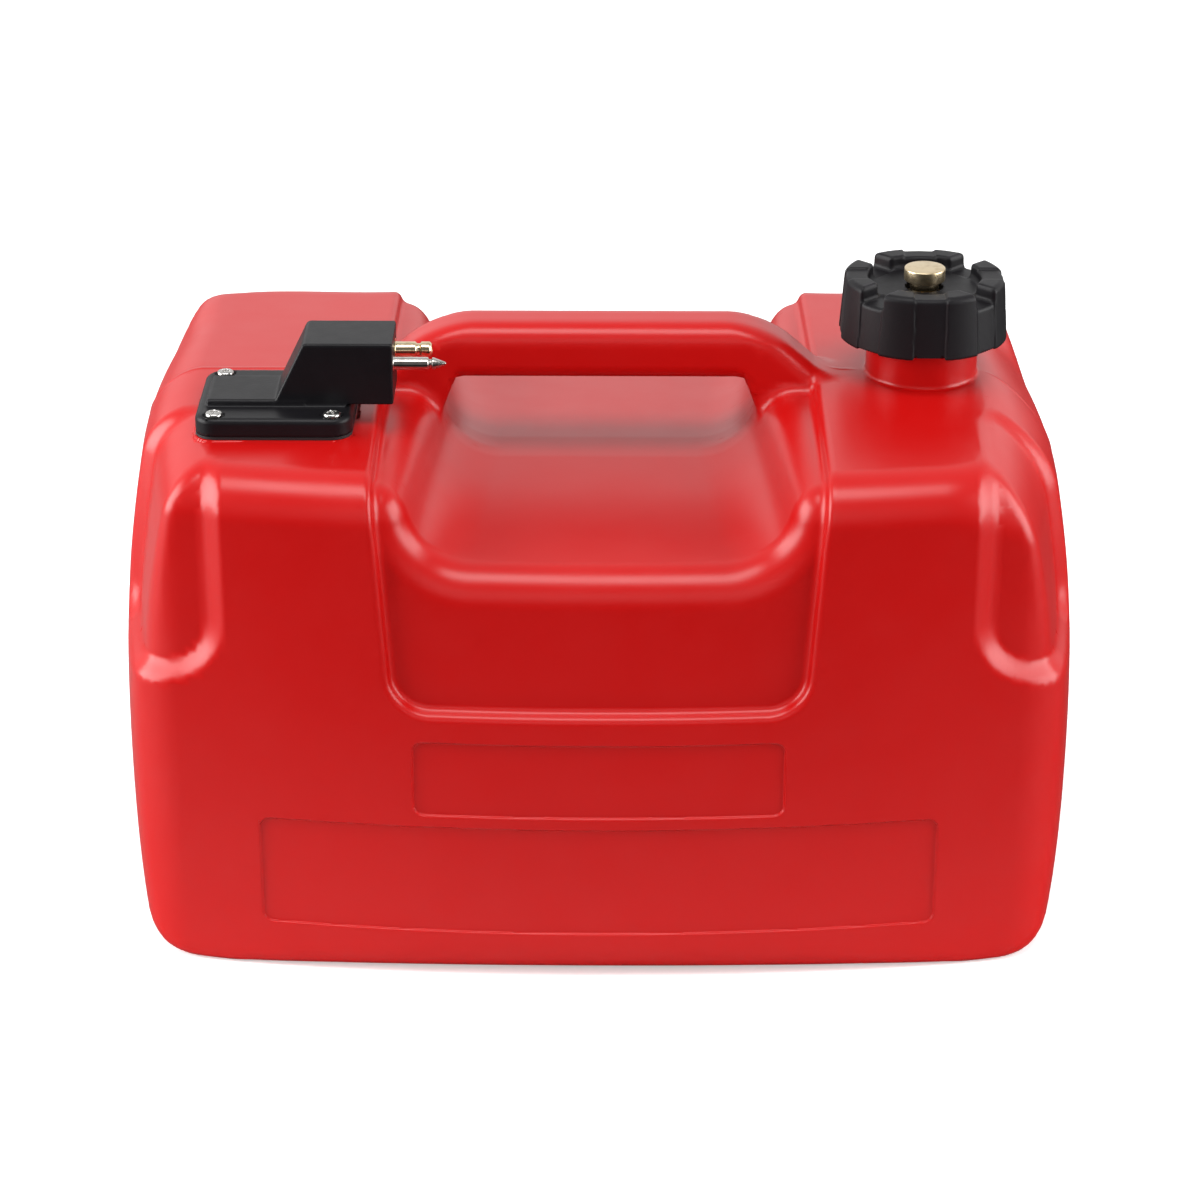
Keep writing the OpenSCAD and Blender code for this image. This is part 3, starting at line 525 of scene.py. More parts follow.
def half_plan(ax, ay, face, end_c, end_r, corner_r):
    """Distances from the end and from all upright walls of one half, seen from above."""
    end = np.hypot(ax - end_c[0], ay) - end_r
    corner = arcs_meet(FACE_C, FACE_R - corner_r, end_c, end_r - corner_r)
    to_face = corner - FACE_C
    to_end = corner - end_c
    vx, vy = ax - corner[0], ay - corner[1]
    at_corner = (to_end[0] * vy - to_end[1] * vx >= 0) & (vx * to_face[1] - vy * to_face[0] >= 0)
    return end, np.where(at_corner, np.hypot(vx, vy) - corner_r, np.maximum(face, end))


def face_and_side(x, y, z):
    """The bowed faces, and the upright walls with round corners and bulging ends."""
    ax, ay = np.abs(x), np.abs(y)
    face = np.hypot(ax, ay - FACE_C[1]) - FACE_R
    front_end, front = half_plan(ax, ay, face, END_C, END_R, FRONT_CORNER_R)
    rear_end, rear = half_plan(ax, ay, face, REAR_END_C, REAR_END_R, REAR_CORNER_R)
    end = np.where(y < 0, front_end, rear_end)
    barrel_r = np.where(x < 0, BARREL_R["left"], BARREL_R["right"])
    barrel = np.hypot(end + barrel_r, z - BARREL_Z) - barrel_r
    return face, soft_max(np.where(y < 0, front, rear), barrel, BARREL_BLEND)


def deck_field(ax, ay, z):
    """The deck, which falls to both sides of the parting line."""
    out = np.hypot(ax, ay - FACE_C[1]) + FACE_C[1]
    return (z - DECK + out * DECK_FALL) / math.hypot(1, DECK_FALL)


front_corner = arcs_meet(FACE_C, FACE_R - FRONT_CORNER_R, END_C, END_R - FRONT_CORNER_R)
print("middle of a front corner's arc:", front_corner.round(1))

# %% [markdown]
# ## Radii of the edges
# The mould's edges are not equally round. The deck's edge is rounder behind than in front, tight at the
# rear corners and widest at the right end, and the lower edge is tight near the corners. A bevel has one
# width, but a field's radius can be worked out at every place, so it eases from one value to the next.
# The lower edges look straight under bowed faces, because their radius is largest in the middle.

# %% Edge radii
FRONT_TOP_R = 17.0
REAR_TOP_R = 21.0
REAR_CORNER_TOP_R = 11.0
END_TOP_R = {"left": 19.0, "right": 34.0}
FRONT_TO_REAR = (-40.0, 40.0)
TO_REAR_CORNER = (85.0, 145.0)
TO_END = (125.0, 170.0)
REAR_TO_END = (100.0, 50.0)
BASE_R = 15.5
BASE_TAPER = 0.0006
FOOT_R = 4.0
END_BASE_R = 13.0
BASE_TO_END = (150.0, 178.0)


def top_radius(x, y):
    """Radius of the deck's edge, which differs in front, behind and at both ends."""
    ax = np.abs(x)
    rear = REAR_TOP_R + (REAR_CORNER_TOP_R - REAR_TOP_R) * rise(ax, *TO_REAR_CORNER)
    along = FRONT_TOP_R + (rear - FRONT_TOP_R) * rise(y, *FRONT_TO_REAR)
    at_end = np.where(x < 0, END_TOP_R["left"], END_TOP_R["right"])
    return along + (at_end - along) * rise(ax, *TO_END) * rise(y, *REAR_TO_END)


def base_radius(ax):
    """Radius of the lower edge: large in mid-face, small at the corners, larger at the ends."""
    along = np.maximum(BASE_R - BASE_TAPER * ax**2, FOOT_R)
    return along + (END_BASE_R - along) * rise(ax, *BASE_TO_END)


print("radius of the deck's edge at both ends:", top_radius(np.array([-HALF_L, HALF_L]), 0))

# %% [markdown]
# ## Recesses
# A broad panel is sunk into the deck and both faces, and each front corner has a finger pocket. Two shallow
# label seats lie on the front, and the outlet has a flat seat. Each is an outline first, so that the same
# outline can cut the recess and tell where the skin needs finer faces.

# %% Outlines of the recesses
PANEL_HALF = 76.0
PANEL_LOW = 110.5
PANEL_LEAN = math.radians(4.0)
PANEL_CORNER_R = 14.0
POCKET_X = 141.0
POCKET_LOW = 120.0
POCKET_Y = 40.0
POCKET_CORNER_R = 24.0
POCKET_END_R = 12.0
# Width, height and lower edge of each label seat
LABELS = ((138.0, 30.0, 69.0), (254.0, 44.0, 20.0))
LABEL_CORNER_R = 4.0
FLANGE_CORNER_R = 8.0
seat_low, seat_high = box_mm("outlet_gasket")
OUTLET_MID = (seat_low + seat_high) / 2


def panel_edge(ax, z):
    """Outline of the broad panel seen from the front."""
    side = (ax - PANEL_HALF - (z - PANEL_LOW) * math.tan(PANEL_LEAN)) * math.cos(PANEL_LEAN)
    return round_max(side, PANEL_LOW - z, PANEL_CORNER_R)


def pocket_edge(ax, y, z):
    """Outline of the finger pockets at the front corners."""
    corner = round_max(POCKET_X - ax, POCKET_LOW - z, POCKET_CORNER_R)
    return round_max(corner, POCKET_Y + y, POCKET_END_R)


def label_edge(ax, z, size):
    """Outline of a label seat seen from the front."""
    width, height, low = size
    return round_max(ax - width / 2, np.abs(z - low - height / 2) - height / 2, LABEL_CORNER_R)


def plate_edge(x, y, grow):
    """Outline of the outlet's flange seen from above, with a margin."""
    half = (seat_high - seat_low) / 2 + grow
    from_mid_x, from_mid_y = np.abs(x - OUTLET_MID[0]), np.abs(y - OUTLET_MID[1])
    return round_max(from_mid_x - half[0], from_mid_y - half[1], FLANGE_CORNER_R + grow)


print("outlet's seat, width and depth in mm:", (seat_high - seat_low)[:2].round(1))

# %% [markdown]
# ## Trough and handle
# A rounded trough runs from front to rear and widens towards both faces. The handle bridges it: it is a
# beam with soft edges whose feet flow into the shoulders, so that a hand finds no corner.

# %% Trough and handle fields
TROUGH_HALF = 61.0
TROUGH_FLARE = 0.09
TROUGH_FLOOR = 170.5
TROUGH_LEVEL = 10.0
TROUGH_FALL = math.tan(math.radians(3.0))
TROUGH_ROOT_R = 24.0
HANDLE_TOP = 224.5
HANDLE_UNDER = 203.5
HANDLE_ROOT = 180.0
HANDLE_HALF = 13.0
HANDLE_FLAT = 63.0
HANDLE_LEAN = 23.0 / 20.5
HANDLE_TOP_R = 10.0
HANDLE_SIDE_R = 8.0
HANDLE_UNDER_R = 3.5
# Past its level part the underside drops this steeply, and its field is eased by this much
UNDER_LEVEL = 55.0
UNDER_DROP = 2.5
UNDER_EASE = 1.6


def trough_field(ax, ay, z):
    """The trough under the handle, with a floor that falls towards both faces."""
    floor_z = TROUGH_FLOOR - np.maximum(ay - TROUGH_LEVEL, 0) * TROUGH_FALL
    return round_max(ax - TROUGH_HALF - TROUGH_FLARE * ay, floor_z - z, TROUGH_ROOT_R)


def handle_field(ax, ay, z):
    """The carrying handle with its sloping feet."""
    foot = (ax - HANDLE_FLAT - (HANDLE_TOP - z) * HANDLE_LEAN) / math.hypot(1, HANDLE_LEAN)
    upper = round_max(z - HANDLE_TOP, foot, HANDLE_TOP_R)
    under = (HANDLE_UNDER - z - np.maximum(ax - UNDER_LEVEL, 0) * UNDER_DROP) / UNDER_EASE
    bar = round_max(round_max(upper, ay - HANDLE_HALF, HANDLE_SIDE_R), under, HANDLE_UNDER_R)
    return np.maximum(bar, HANDLE_ROOT - z)


print("room for the hand:", HANDLE_UNDER - TROUGH_FLOOR, "mm high and", 2 * TROUGH_HALF, "mm wide")

# %% [markdown]
# ## The whole moulding
# The form is put together step by step: the walls and the deck, then the recesses, the trough, the handle,
# the outlet's seat and the neck. A thin ridge marks where the two halves of the mould met.
# Each step blends with what is there already, so the order decides which edges run over which.

# %% Shell field
PANEL_DEPTH = 4.5
PANEL_ROOT_R = 2.8
PANEL_LIP_R = 3.0
POCKET_DEPTH = 5.0
POCKET_WALL = 9.0
LABEL_DEPTH = 1.1
LABEL_ROOT_R = 0.5
LABEL_LIP_R = 0.6
TROUGH_LIP_R = 13.0
HANDLE_FILLET = 5.0
SEAT_MARGIN = 1.0
SEAT_DEEP = 5.0
SEAT_LIP_R = 0.4
NECK_X = cap_axis[0]
NECK_TOP = box_mm("cap_gasket")[0][2]
NECK_R = 21.4
NECK_BORE_R = 15.8
NECK_ROOT = 190.0
NECK_RIM_R = 1.0
NECK_FILLET = 1.6
NECK_LIP_R = 0.8
RIDGE_H = 0.25
RIDGE_W = 0.8
# The ridge fades in past the handle's feet and outside the neck
RIDGE_FROM = (88.0, 92.0)
RIDGE_FROM_NECK = (NECK_R + 3.0, NECK_R + 8.0)


def shell_field(x, y, z):
    """The whole moulding."""
    ax, ay = np.abs(x), np.abs(y)
    face, side = face_and_side(x, y, z)
    top_r = top_radius(x, y)
    deck = deck_field(ax, ay, z)
    side = side + POCKET_DEPTH * rise(pocket_edge(ax, y, z), POCKET_WALL / 2, -POCKET_WALL / 2)
    body = round_max(side, deck, top_r)
    body = round_max(body, -z, base_radius(ax))
    skin = round_max(face, deck, top_r)
    panel = round_max(panel_edge(ax, z), -(skin + PANEL_DEPTH), PANEL_ROOT_R)
    body = carve(body, panel, PANEL_LIP_R)
    for size in LABELS:
        edge = np.maximum(label_edge(ax, z, size), y)
        body = carve(body, round_max(edge, -(face + LABEL_DEPTH), LABEL_ROOT_R), LABEL_LIP_R)
    body = carve(body, trough_field(ax, ay, z), TROUGH_LIP_R)
    body = soft_min(body, handle_field(ax, ay, z), HANDLE_FILLET)
    plate = plate_edge(x, y, SEAT_MARGIN)
    pad = np.maximum(np.maximum(plate, z - seat_low[2]), seat_low[2] - SEAT_DEEP - z)
    body = carve(np.minimum(body, pad), np.maximum(plate, seat_low[2] - z), SEAT_LIP_R)
    across_neck = np.hypot(x - NECK_X, y)
    neck = np.maximum(round_max(across_neck - NECK_R, z - NECK_TOP, NECK_RIM_R), NECK_ROOT - z)
    shown = ramp(across_neck, *RIDGE_FROM_NECK) * ramp(ax, *RIDGE_FROM)
    body = soft_min(body, neck, NECK_FILLET) - RIDGE_H * np.exp(-((y / RIDGE_W) ** 2)) * shown
    return carve(body, np.maximum(across_neck - NECK_BORE_R, DECK - z), NECK_LIP_R)


print("neck at x =", round(NECK_X, 1), "mm, its rim at z =", round(NECK_TOP, 1), "mm")

# %% [markdown]
# ### The shell's skin
# Cells of about 3 mm are enough for the broad walls. Narrow bands along the label seats, the panel's rim,
# the outlet's seat, the neck's foot and the parting line are split, because their radii are smaller.

# %% Shell skin
SHELL_LOW = (-190.0, -123.0, -4.0)
SHELL_HIGH = (190.0, 123.0, 232.0)
SHELL_CELL = 2.9
FRONT_Y = -60.0
LABEL_BAND = 3.5
LABEL_RIM_BAND = 1.3
PANEL_BAND = 6.0
PANEL_BAND_LOW = PANEL_LOW - 8.0
SEAT_BAND = 3.0
FOOT_MID_R = NECK_R + 1.0
FOOT_BAND = 5.0
FOOT_SPAN = (194.0, 214.0)
RIDGE_BAND = 2.5
RIDGE_BAND_X = 84.0


def near_label(x, y, z, band):
    """Places on the front in a band along the label edges."""
    edge = np.min([np.abs(label_edge(np.abs(x), z, size)) for size in LABELS], axis=0)
    return (edge < band) & (y < FRONT_Y)


def fine_places(x, y, z):
    """Where the shell needs more points: label and panel edges, outlet seat, neck's foot, parting line."""
    ax = np.abs(x)
    on_panel = (np.abs(panel_edge(ax, z)) < PANEL_BAND) & (z > PANEL_BAND_LOW)
    on_seat = (np.abs(plate_edge(x, y, SEAT_MARGIN)) < SEAT_BAND) & (z > NECK_ROOT)
    on_foot = (np.abs(np.hypot(x - NECK_X, y) - FOOT_MID_R) < FOOT_BAND) & (z > FOOT_SPAN[0])
    on_ridge = (np.abs(y) < RIDGE_BAND) & (ax > RIDGE_BAND_X)
    on_label = near_label(x, y, z, LABEL_BAND)
    return on_label | on_panel | on_seat | on_ridge | (on_foot & (z < FOOT_SPAN[1]))


def label_places(x, y, z):
    """The narrow band along the label edges, which is split once more."""
    return near_label(x, y, z, LABEL_RIM_BAND)


points, faces = lay_skin(shell_field, SHELL_LOW, SHELL_HIGH, SHELL_CELL)
points, faces = refine(points, faces, fine_places, cuts=2)
points, faces = refine(settle(shell_field, points), faces, label_places, cuts=1)
points = settle(shell_field, points)
make_piece(
    "tank_shell_skin", points, faces, red_polyethylene, "tank", "red_hdpe", "tank_shell", field=shell_field
)

# %% [markdown]
# ## The filler cap
# The cap is a thick cone with four grips. Four notches between the grips give the fingers a hold, a dish in
# the top with a deeper well makes room for the vent screw, and each grip has a shallow flute down its middle.
# Boolean cuts could make these forms, but they leave sharp edges. Every edge of the real moulding is
# rounded by about a millimetre or two, so the cap is one field as well.

# %% Cap field
cap_low, cap_high = box_mm("filler_cap")
CAP_R = 32.5
CAP_LEAN = 1.75 / 24.2
CAP_TOP_R = 2.2
CAP_FOOT_R = 0.8
GRIP_R = 20.0
FLUTE_HALF = 6.0
FLUTE_DEPTH = 0.8
FLUTE_ROOT_R = 0.6
CHANNEL_DEPTH = 0.6
CHANNEL_ROOT_R = 0.5
GROOVE_LIP_R = 0.7
DISH_R = 21.5
DISH_DEPTH = 5.2
DISH_ROOT_R = 2.0
DISH_LIP_R = 1.4
NOTCH_HALF = 5.0
NOTCH_DEPTH = 6.0
NOTCH_ROOT_R = 1.6
NOTCH_END_R = 1.0
NOTCH_LIP_R = 1.3
CAP_BORE_R = 22.4
CAP_BORE_LIP_R = 0.5
GASKET_ROOM = 2.0
WELL_R = 7.3
WELL_DEPTH = 9.0
BUSH_R = 5.5
CAP_MARGIN = 2.0
CAP_CELL = 0.9


def cap_field(x, y, z):
    """The screw cap."""
    x = x - NECK_X
    r = np.hypot(x, y)
    top = cap_high[2]
    cone = r - CAP_R + (z - cap_low[2]) * CAP_LEAN
    outer = round_max(round_max(cone, z - top, CAP_TOP_R), cap_low[2] - z, CAP_FOOT_R)
    from_grip = np.minimum(np.abs(x), np.abs(y))
    flute = round_max(from_grip - FLUTE_HALF, -(outer + FLUTE_DEPTH), FLUTE_ROOT_R)
    body = carve(outer, np.maximum(flute, GRIP_R - r), GROOVE_LIP_R)
    body = carve(body, round_max(r - DISH_R, top - DISH_DEPTH - z, DISH_ROOT_R), DISH_LIP_R)
    from_notch = np.minimum(np.abs(x + y) / math.sqrt(2), np.abs(x - y) / math.sqrt(2))
    channel = round_max(from_notch - NOTCH_HALF, -(outer + CHANNEL_DEPTH), CHANNEL_ROOT_R)
    body = carve(body, np.maximum(channel, GRIP_R - r), GROOVE_LIP_R)
    notch = round_max(from_notch - NOTCH_HALF, top - NOTCH_DEPTH - z, NOTCH_ROOT_R)
    body = carve(body, round_max(notch, GRIP_R - r, NOTCH_END_R), NOTCH_LIP_R)
    body = carve(body, np.maximum(r - CAP_BORE_R, z - NECK_TOP - GASKET_ROOM), CAP_BORE_LIP_R)
    well = np.maximum(r - WELL_R, top - WELL_DEPTH - z)
    return np.maximum(np.maximum(body, -well), BUSH_R - r)


points, faces = lay_skin(cap_field, cap_low - CAP_MARGIN, cap_high + CAP_MARGIN, CAP_CELL)
make_piece(
    "filler_cap_grip", points, faces, black_polyethylene, "cap", "black_hdpe", "filler_cap", field=cap_field
)

# %% [markdown]
# ## The fuel outlet
# A thick flange with rounded corners is screwed to the deck. On it stands a block with a sloping back that
# overhangs the flange and holds the two prongs, and a low step runs back from the block.
# Its edges are crisper than the tank's, so the radii are small and the skin is laid in small cells.

# %% Outlet field
outlet_low, outlet_high = box_mm("outlet_body")
screw_low, screw_high = box_mm("flange_screws")
chamber_top = box_mm("check_spring")[1][2]
FLANGE_Z = seat_high[2]
FLANGE_TOP = FLANGE_Z + 7.0
FLANGE_TOP_R = 2.2
FLANGE_FOOT_R = 0.5
BLOCK_TOP = outlet_high[2]
BLOCK_RIGHT = outlet_high[0]
BLOCK_LEFT = BLOCK_RIGHT - 33.0
BLOCK_SLOPE = 12.0
BLOCK_HALF = 13.5
BLOCK_BACK_R = 1.0
BLOCK_FACE_R = 0.8
BLOCK_SIDE_R = 0.9
BLOCK_UNDER_R = 0.6
BLOCK_ROOT = 4.0
BLOCK_FILLET = 1.2
OVERHANG_X = seat_high[0] - 2.5
OVERHANG_GAP = 0.8
STEP_LEFT = seat_low[0] + 3.5
STEP_H = 2.5
STEP_EDGE_R = 1.2
STEP_ROOT = 3.0
STEP_FILLET = 0.8
HEAD_R = 3.2
SCREW_PITCH = screw_high[0] - screw_low[0] - 2 * HEAD_R
SINK_R = 3.8
SINK_DEPTH = 0.8
SINK_LIP_R = 0.4
SCREW_HOLE_R = 1.95
RISER = (BLOCK_LEFT + 5.0, spigot_axis[1])
STEM_OUTER_R = 9.0
STEM_ROOT = 2.0
BARB_SEAT_R = 4.5
BARB_SEAT_DEPTH = 8.0
CHAMBER_R = 3.8
RISER_R = 2.0
SPIGOT_SEAT_R = 4.5
PASSAGE_R = 2.2
PIN_SEAT_R = 3.0
# How far a bore is cut past the face that it opens in
OVERCUT = 1.0
OUTLET_MARGIN = 1.5
OUTLET_CELL = 0.9


def tube_field(across, along, start, end, r):
    """A round hole or stem between two places along its axis."""
    return np.maximum(np.hypot(*across) - r, np.maximum(start - along, along - end))


def outlet_solid(x, y, z):
    """The outlet's flange, block and step, with the sinks and holes for the screws."""
    ax, ay = np.abs(x - OUTLET_MID[0]), np.abs(y - OUTLET_MID[1])
    flange = round_max(plate_edge(x, y, 0.0), z - FLANGE_TOP, FLANGE_TOP_R)
    body = round_max(flange, FLANGE_Z - z, FLANGE_FOOT_R)
    block_h = BLOCK_TOP - FLANGE_TOP
    back = (BLOCK_LEFT - x) * block_h + (z - BLOCK_TOP) * BLOCK_SLOPE
    back = back / math.hypot(block_h, BLOCK_SLOPE)
    block = round_max(round_max(back, z - BLOCK_TOP, BLOCK_BACK_R), x - BLOCK_RIGHT, BLOCK_FACE_R)
    block = round_max(block, ay - BLOCK_HALF, BLOCK_SIDE_R)
    under = np.where(x > OVERHANG_X, FLANGE_TOP + OVERHANG_GAP - z, FLANGE_TOP - BLOCK_ROOT - z)
    body = soft_min(body, round_max(block, under, BLOCK_UNDER_R), BLOCK_FILLET)
    step = round_max(STEP_LEFT - x, z - FLANGE_TOP - STEP_H, STEP_EDGE_R)
    step = round_max(step, ay - BLOCK_HALF, STEP_EDGE_R)
    step = np.maximum(step, np.maximum(x - BLOCK_LEFT, FLANGE_TOP - STEP_ROOT - z))
    body = soft_min(body, step, STEP_FILLET)
    sinks = np.hypot(ax - SCREW_PITCH / 2, ay - SCREW_PITCH / 2)
    body = carve(body, np.maximum(sinks - SINK_R, FLANGE_TOP - SINK_DEPTH - z), SINK_LIP_R)
    return np.maximum(body, SCREW_HOLE_R - sinks)


def outlet_field(x, y, z):
    """The whole outlet: its stem is added, and the bores for the valve and the prongs are cut."""
    low, right = outlet_low[2], BLOCK_RIGHT
    riser = (x - RISER[0], y - RISER[1])
    spigot = (y - spigot_axis[1], z - spigot_axis[2])
    pin = (y - pin_axis[1], z - pin_axis[2])
    stem = tube_field(riser, z, low, FLANGE_Z + STEM_ROOT, STEM_OUTER_R)
    body = np.minimum(outlet_solid(x, y, z), stem)
    for across_bore, along, start, end, r in (
        (riser, z, low - OVERCUT, low + BARB_SEAT_DEPTH, BARB_SEAT_R),
        (riser, z, low, chamber_top, CHAMBER_R),
        (riser, z, low, spigot_axis[2], RISER_R),
        (spigot, x, spigot_low[0], right + OVERCUT, SPIGOT_SEAT_R),
        (spigot, x, RISER[0], right, PASSAGE_R),
        (pin, x, pin_low[0], right + OVERCUT, PIN_SEAT_R),
    ):
        body = np.maximum(body, -tube_field(across_bore, along, start, end, r))
    return body


points, faces = lay_skin(outlet_field, outlet_low - OUTLET_MARGIN, outlet_high + OUTLET_MARGIN, OUTLET_CELL)
make_piece(
    "outlet_block", points, faces, black_nylon, "tank", "black_nylon", "outlet_body", field=outlet_field
)

# %% [markdown]
# ## Turned pieces
# The vent knob and the two prongs were made on a lathe, so they are drawn as half a profile and spun round
# their axis. Each corner of the profile is broken by a small arc, as a lathe hand would do, because a bright
# edge that catches the light is what makes metal look real.

# %% Spun profiles


def groove(r, deep_r, start, end, slope=0.0):
    """Four points of a profile that dips to a smaller radius between two places."""
    return [(r, start), (deep_r, start + slope), (deep_r, end - slope), (r, end)]


def broken_corners(profile, radius, parts=4):
    """A profile whose inner corners are replaced by short arcs."""
    longest = 0.45
    out = [np.array(profile[0], float)]
    for before, here, after in zip(profile, profile[1:], profile[2:]):
        before, here, after = (np.array(p, float) for p in (before, here, after))
        a, b = before - here, after - here
        reach = min(radius, np.linalg.norm(a) * longest, np.linalg.norm(b) * longest)
        start = here + a / np.linalg.norm(a) * reach
        end = here + b / np.linalg.norm(b) * reach
        for t in np.linspace(0, 1, parts):
            out.append((1 - t) ** 2 * start + 2 * t * (1 - t) * here + t**2 * end)
    out.append(np.array(profile[-1], float))
    return out


def spin_rows(rows, pairs, steps):
    """Points of every row turned round the axis, and the quads between pairs of rows."""
    angles = np.arange(steps) * math.tau / steps
    points = [[r * math.cos(a), r * math.sin(a), h] for r, h in rows for a in angles]
    faces = []
    for i, j in pairs:
        for k in range(steps):
            n = (k + 1) % steps
            faces.append([i * steps + k, i * steps + n, j * steps + n, j * steps + k])
    return points, faces


def spin(profile, steps=72):
    """A profile (radius, distance along) from the axis and back to it, spun into a solid."""
    rows = [p for p in profile if p[0] > NEAR_ZERO]
    points, faces = spin_rows(rows, [(i, i + 1) for i in range(len(rows) - 1)], steps)
    ends = ((0, profile[0][1]), (len(rows) - 1, profile[-1][1]))
    for side, (row, height) in enumerate(ends):
        hub = len(points)
        points.append([0.0, 0.0, height])
        for k in range(steps):
            n = (k + 1) % steps
            rim = [row * steps + k, row * steps + n]
            faces.append([hub] + (rim[::-1] if side == 0 else rim))
    return np.array(points), faces


def spin_ring(profile, steps=72):
    """A profile that closes on itself, spun into a pipe."""
    rows = profile[:-1]
    points, faces = spin_rows(rows, [(i, (i + 1) % len(rows)) for i in range(len(rows))], steps)
    return np.array(points), faces


def along_x(points, origin):
    """Turn a spun piece so that its axis runs along X from a point."""
    return np.stack([points[:, 2], points[:, 0], points[:, 1]], 1) + origin


print("a square groove:", groove(3.0, 2.0, 0.0, 1.0))

# %% [markdown]
# ### Vent knob
# The knob is a flat brass disc on a collar and a stem, and a groove in the stem holds the clip that keeps
# the screw in the cap. Its solid is a little lower than the real one, so the head is drawn higher.

# %% Vent knob
KNOB_R = 7.85
KNOB_H = 5.0
KNOB_RAISE = 1.8
KNOB_EDGE_R = 0.6
KNOB_STEPS = 96
COLLAR_R = 5.5
STEM_R = 2.95
CLIP_GROOVE_R = 2.3
knob_top = knob_high[2] + KNOB_RAISE
knob_foot = knob_top - KNOB_H
seal_top = box_mm("vent_seal")[1][2]
clip_low, clip_high = box_mm("vent_clip")
profile = [
    (0, knob_low[2]),
    (STEM_R, knob_low[2]),
    *groove(STEM_R, CLIP_GROOVE_R, clip_low[2], clip_high[2]),
    (STEM_R, seal_top),
    (COLLAR_R, seal_top),
    (COLLAR_R, knob_foot),
    (KNOB_R, knob_foot),
    (KNOB_R, knob_top),
    (0, knob_top),
]
points, faces = spin(broken_corners(profile, KNOB_EDGE_R), KNOB_STEPS)
make_piece(
    "vent_screw_knob", points + [NECK_X, 0, 0], faces, vent_brass, "vent_screw", "brass", "vent_knob"
)

# %% [markdown]
# ### Prongs
# The rear prong is a brass pipe that carries the fuel, with a groove inside the block for its sealing ring.
# The front one is a steel pin with a pointed tip. Each has a groove that a hose connector can catch.

# %% Prongs
SPIGOT_R = 3.0
SPIGOT_BORE_R = 1.5
SPIGOT_TIP_R = 2.2
SPIGOT_TIP_L = 0.8
SPIGOT_CATCH_R = 2.3
# Both ends of the groove, measured back from the tip
SPIGOT_CATCH = (6.0, 4.0)
SPIGOT_EDGE_R = 0.35
RING_GROOVE_R = 2.9
RING_GROOVE_HALF = 0.96
CATCH_SLOPE = 0.4
reach = spigot_high[0] - BLOCK_RIGHT
shank = BLOCK_RIGHT - spigot_low[0]
ring_start, ring_end = -shank / 2 - RING_GROOVE_HALF, -shank / 2 + RING_GROOVE_HALF
profile = [
    (SPIGOT_BORE_R, -shank),
    (SPIGOT_SEAT_R, -shank),
    *groove(SPIGOT_SEAT_R, RING_GROOVE_R, ring_start, ring_end),
    (SPIGOT_SEAT_R, 0),
    (SPIGOT_R, 0),
    *groove(SPIGOT_R, SPIGOT_CATCH_R, reach - SPIGOT_CATCH[0], reach - SPIGOT_CATCH[1], CATCH_SLOPE),
    (SPIGOT_R, reach - SPIGOT_TIP_L),
    (SPIGOT_TIP_R, reach),
    (SPIGOT_BORE_R, reach),
    (SPIGOT_BORE_R, -shank),
]
points, faces = spin_ring(broken_corners(profile, SPIGOT_EDGE_R))
origin = np.array([BLOCK_RIGHT, spigot_axis[1], spigot_axis[2]])
make_piece("brass_prong", along_x(points, origin), faces, prong_brass, "tank", "brass", "fuel_spigot")

PIN_R = 2.4
PIN_TIP_R = 0.5
PIN_TIP_L = 5.0
PIN_CATCH_R = 1.5
PIN_CATCH_W = 1.6
PIN_EDGE_R = 0.4
reach = pin_high[0] - BLOCK_RIGHT
seat = BLOCK_RIGHT - pin_low[0]
tip_start = reach - PIN_TIP_L
profile = [
    (0, -seat),
    (PIN_SEAT_R, -seat),
    (PIN_SEAT_R, 0),
    (PIN_R, 0),
    *groove(PIN_R, PIN_CATCH_R, tip_start - PIN_CATCH_W, tip_start, CATCH_SLOPE),
    (PIN_TIP_R, reach),
    (0, reach),
]
points, faces = spin(broken_corners(profile, PIN_EDGE_R))
origin = np.array([BLOCK_RIGHT, pin_axis[1], pin_axis[2]])
make_piece("steel_prong", along_x(points, origin), faces, prong_steel, "tank", "steel", "lock_pin")

# %% [markdown]
# ## Flange screws
# Four equal pan-head screws hold the outlet. One screw is made as a field, with a domed head and a cross
# recess whose floor rises from the middle.

# %% One screw
HEAD_H = 2.2
HEAD_DOME_R = 7.0
HEAD_EDGE_R = 0.7
HEAD_FOOT_R = 0.2
SCREW_R = 1.75
SCREW_L = screw_high[2] - screw_low[2] - HEAD_H
SCREW_ROOT = 0.5
CROSS_HALF_L = 1.9
CROSS_HALF_W = 0.42
CROSS_DEPTH = 1.3
CROSS_RISE = 0.45
CROSS_LIP_R = 0.12
SCREW_SIDE = 3.6
SCREW_MARGIN = 0.5
SCREW_CELL = 0.23


def screw_field(x, y, z):
    """A pan-head screw whose head stands on z = 0."""
    r = np.hypot(x, y)
    dome = np.hypot(r, z + HEAD_DOME_R) - HEAD_DOME_R - HEAD_H
    head = round_max(round_max(r - HEAD_R, dome, HEAD_EDGE_R), -z, HEAD_FOOT_R)
    stem = np.maximum(r - SCREW_R, np.maximum(-SCREW_L - z, z - SCREW_ROOT))
    one_arm = np.maximum(np.abs(x) - CROSS_HALF_L, np.abs(y) - CROSS_HALF_W)
    other_arm = np.maximum(np.abs(y) - CROSS_HALF_L, np.abs(x) - CROSS_HALF_W)
    cross = np.maximum(np.minimum(one_arm, other_arm), HEAD_H - CROSS_DEPTH + r * CROSS_RISE - z)
    return carve(np.minimum(head, stem), cross, CROSS_LIP_R)


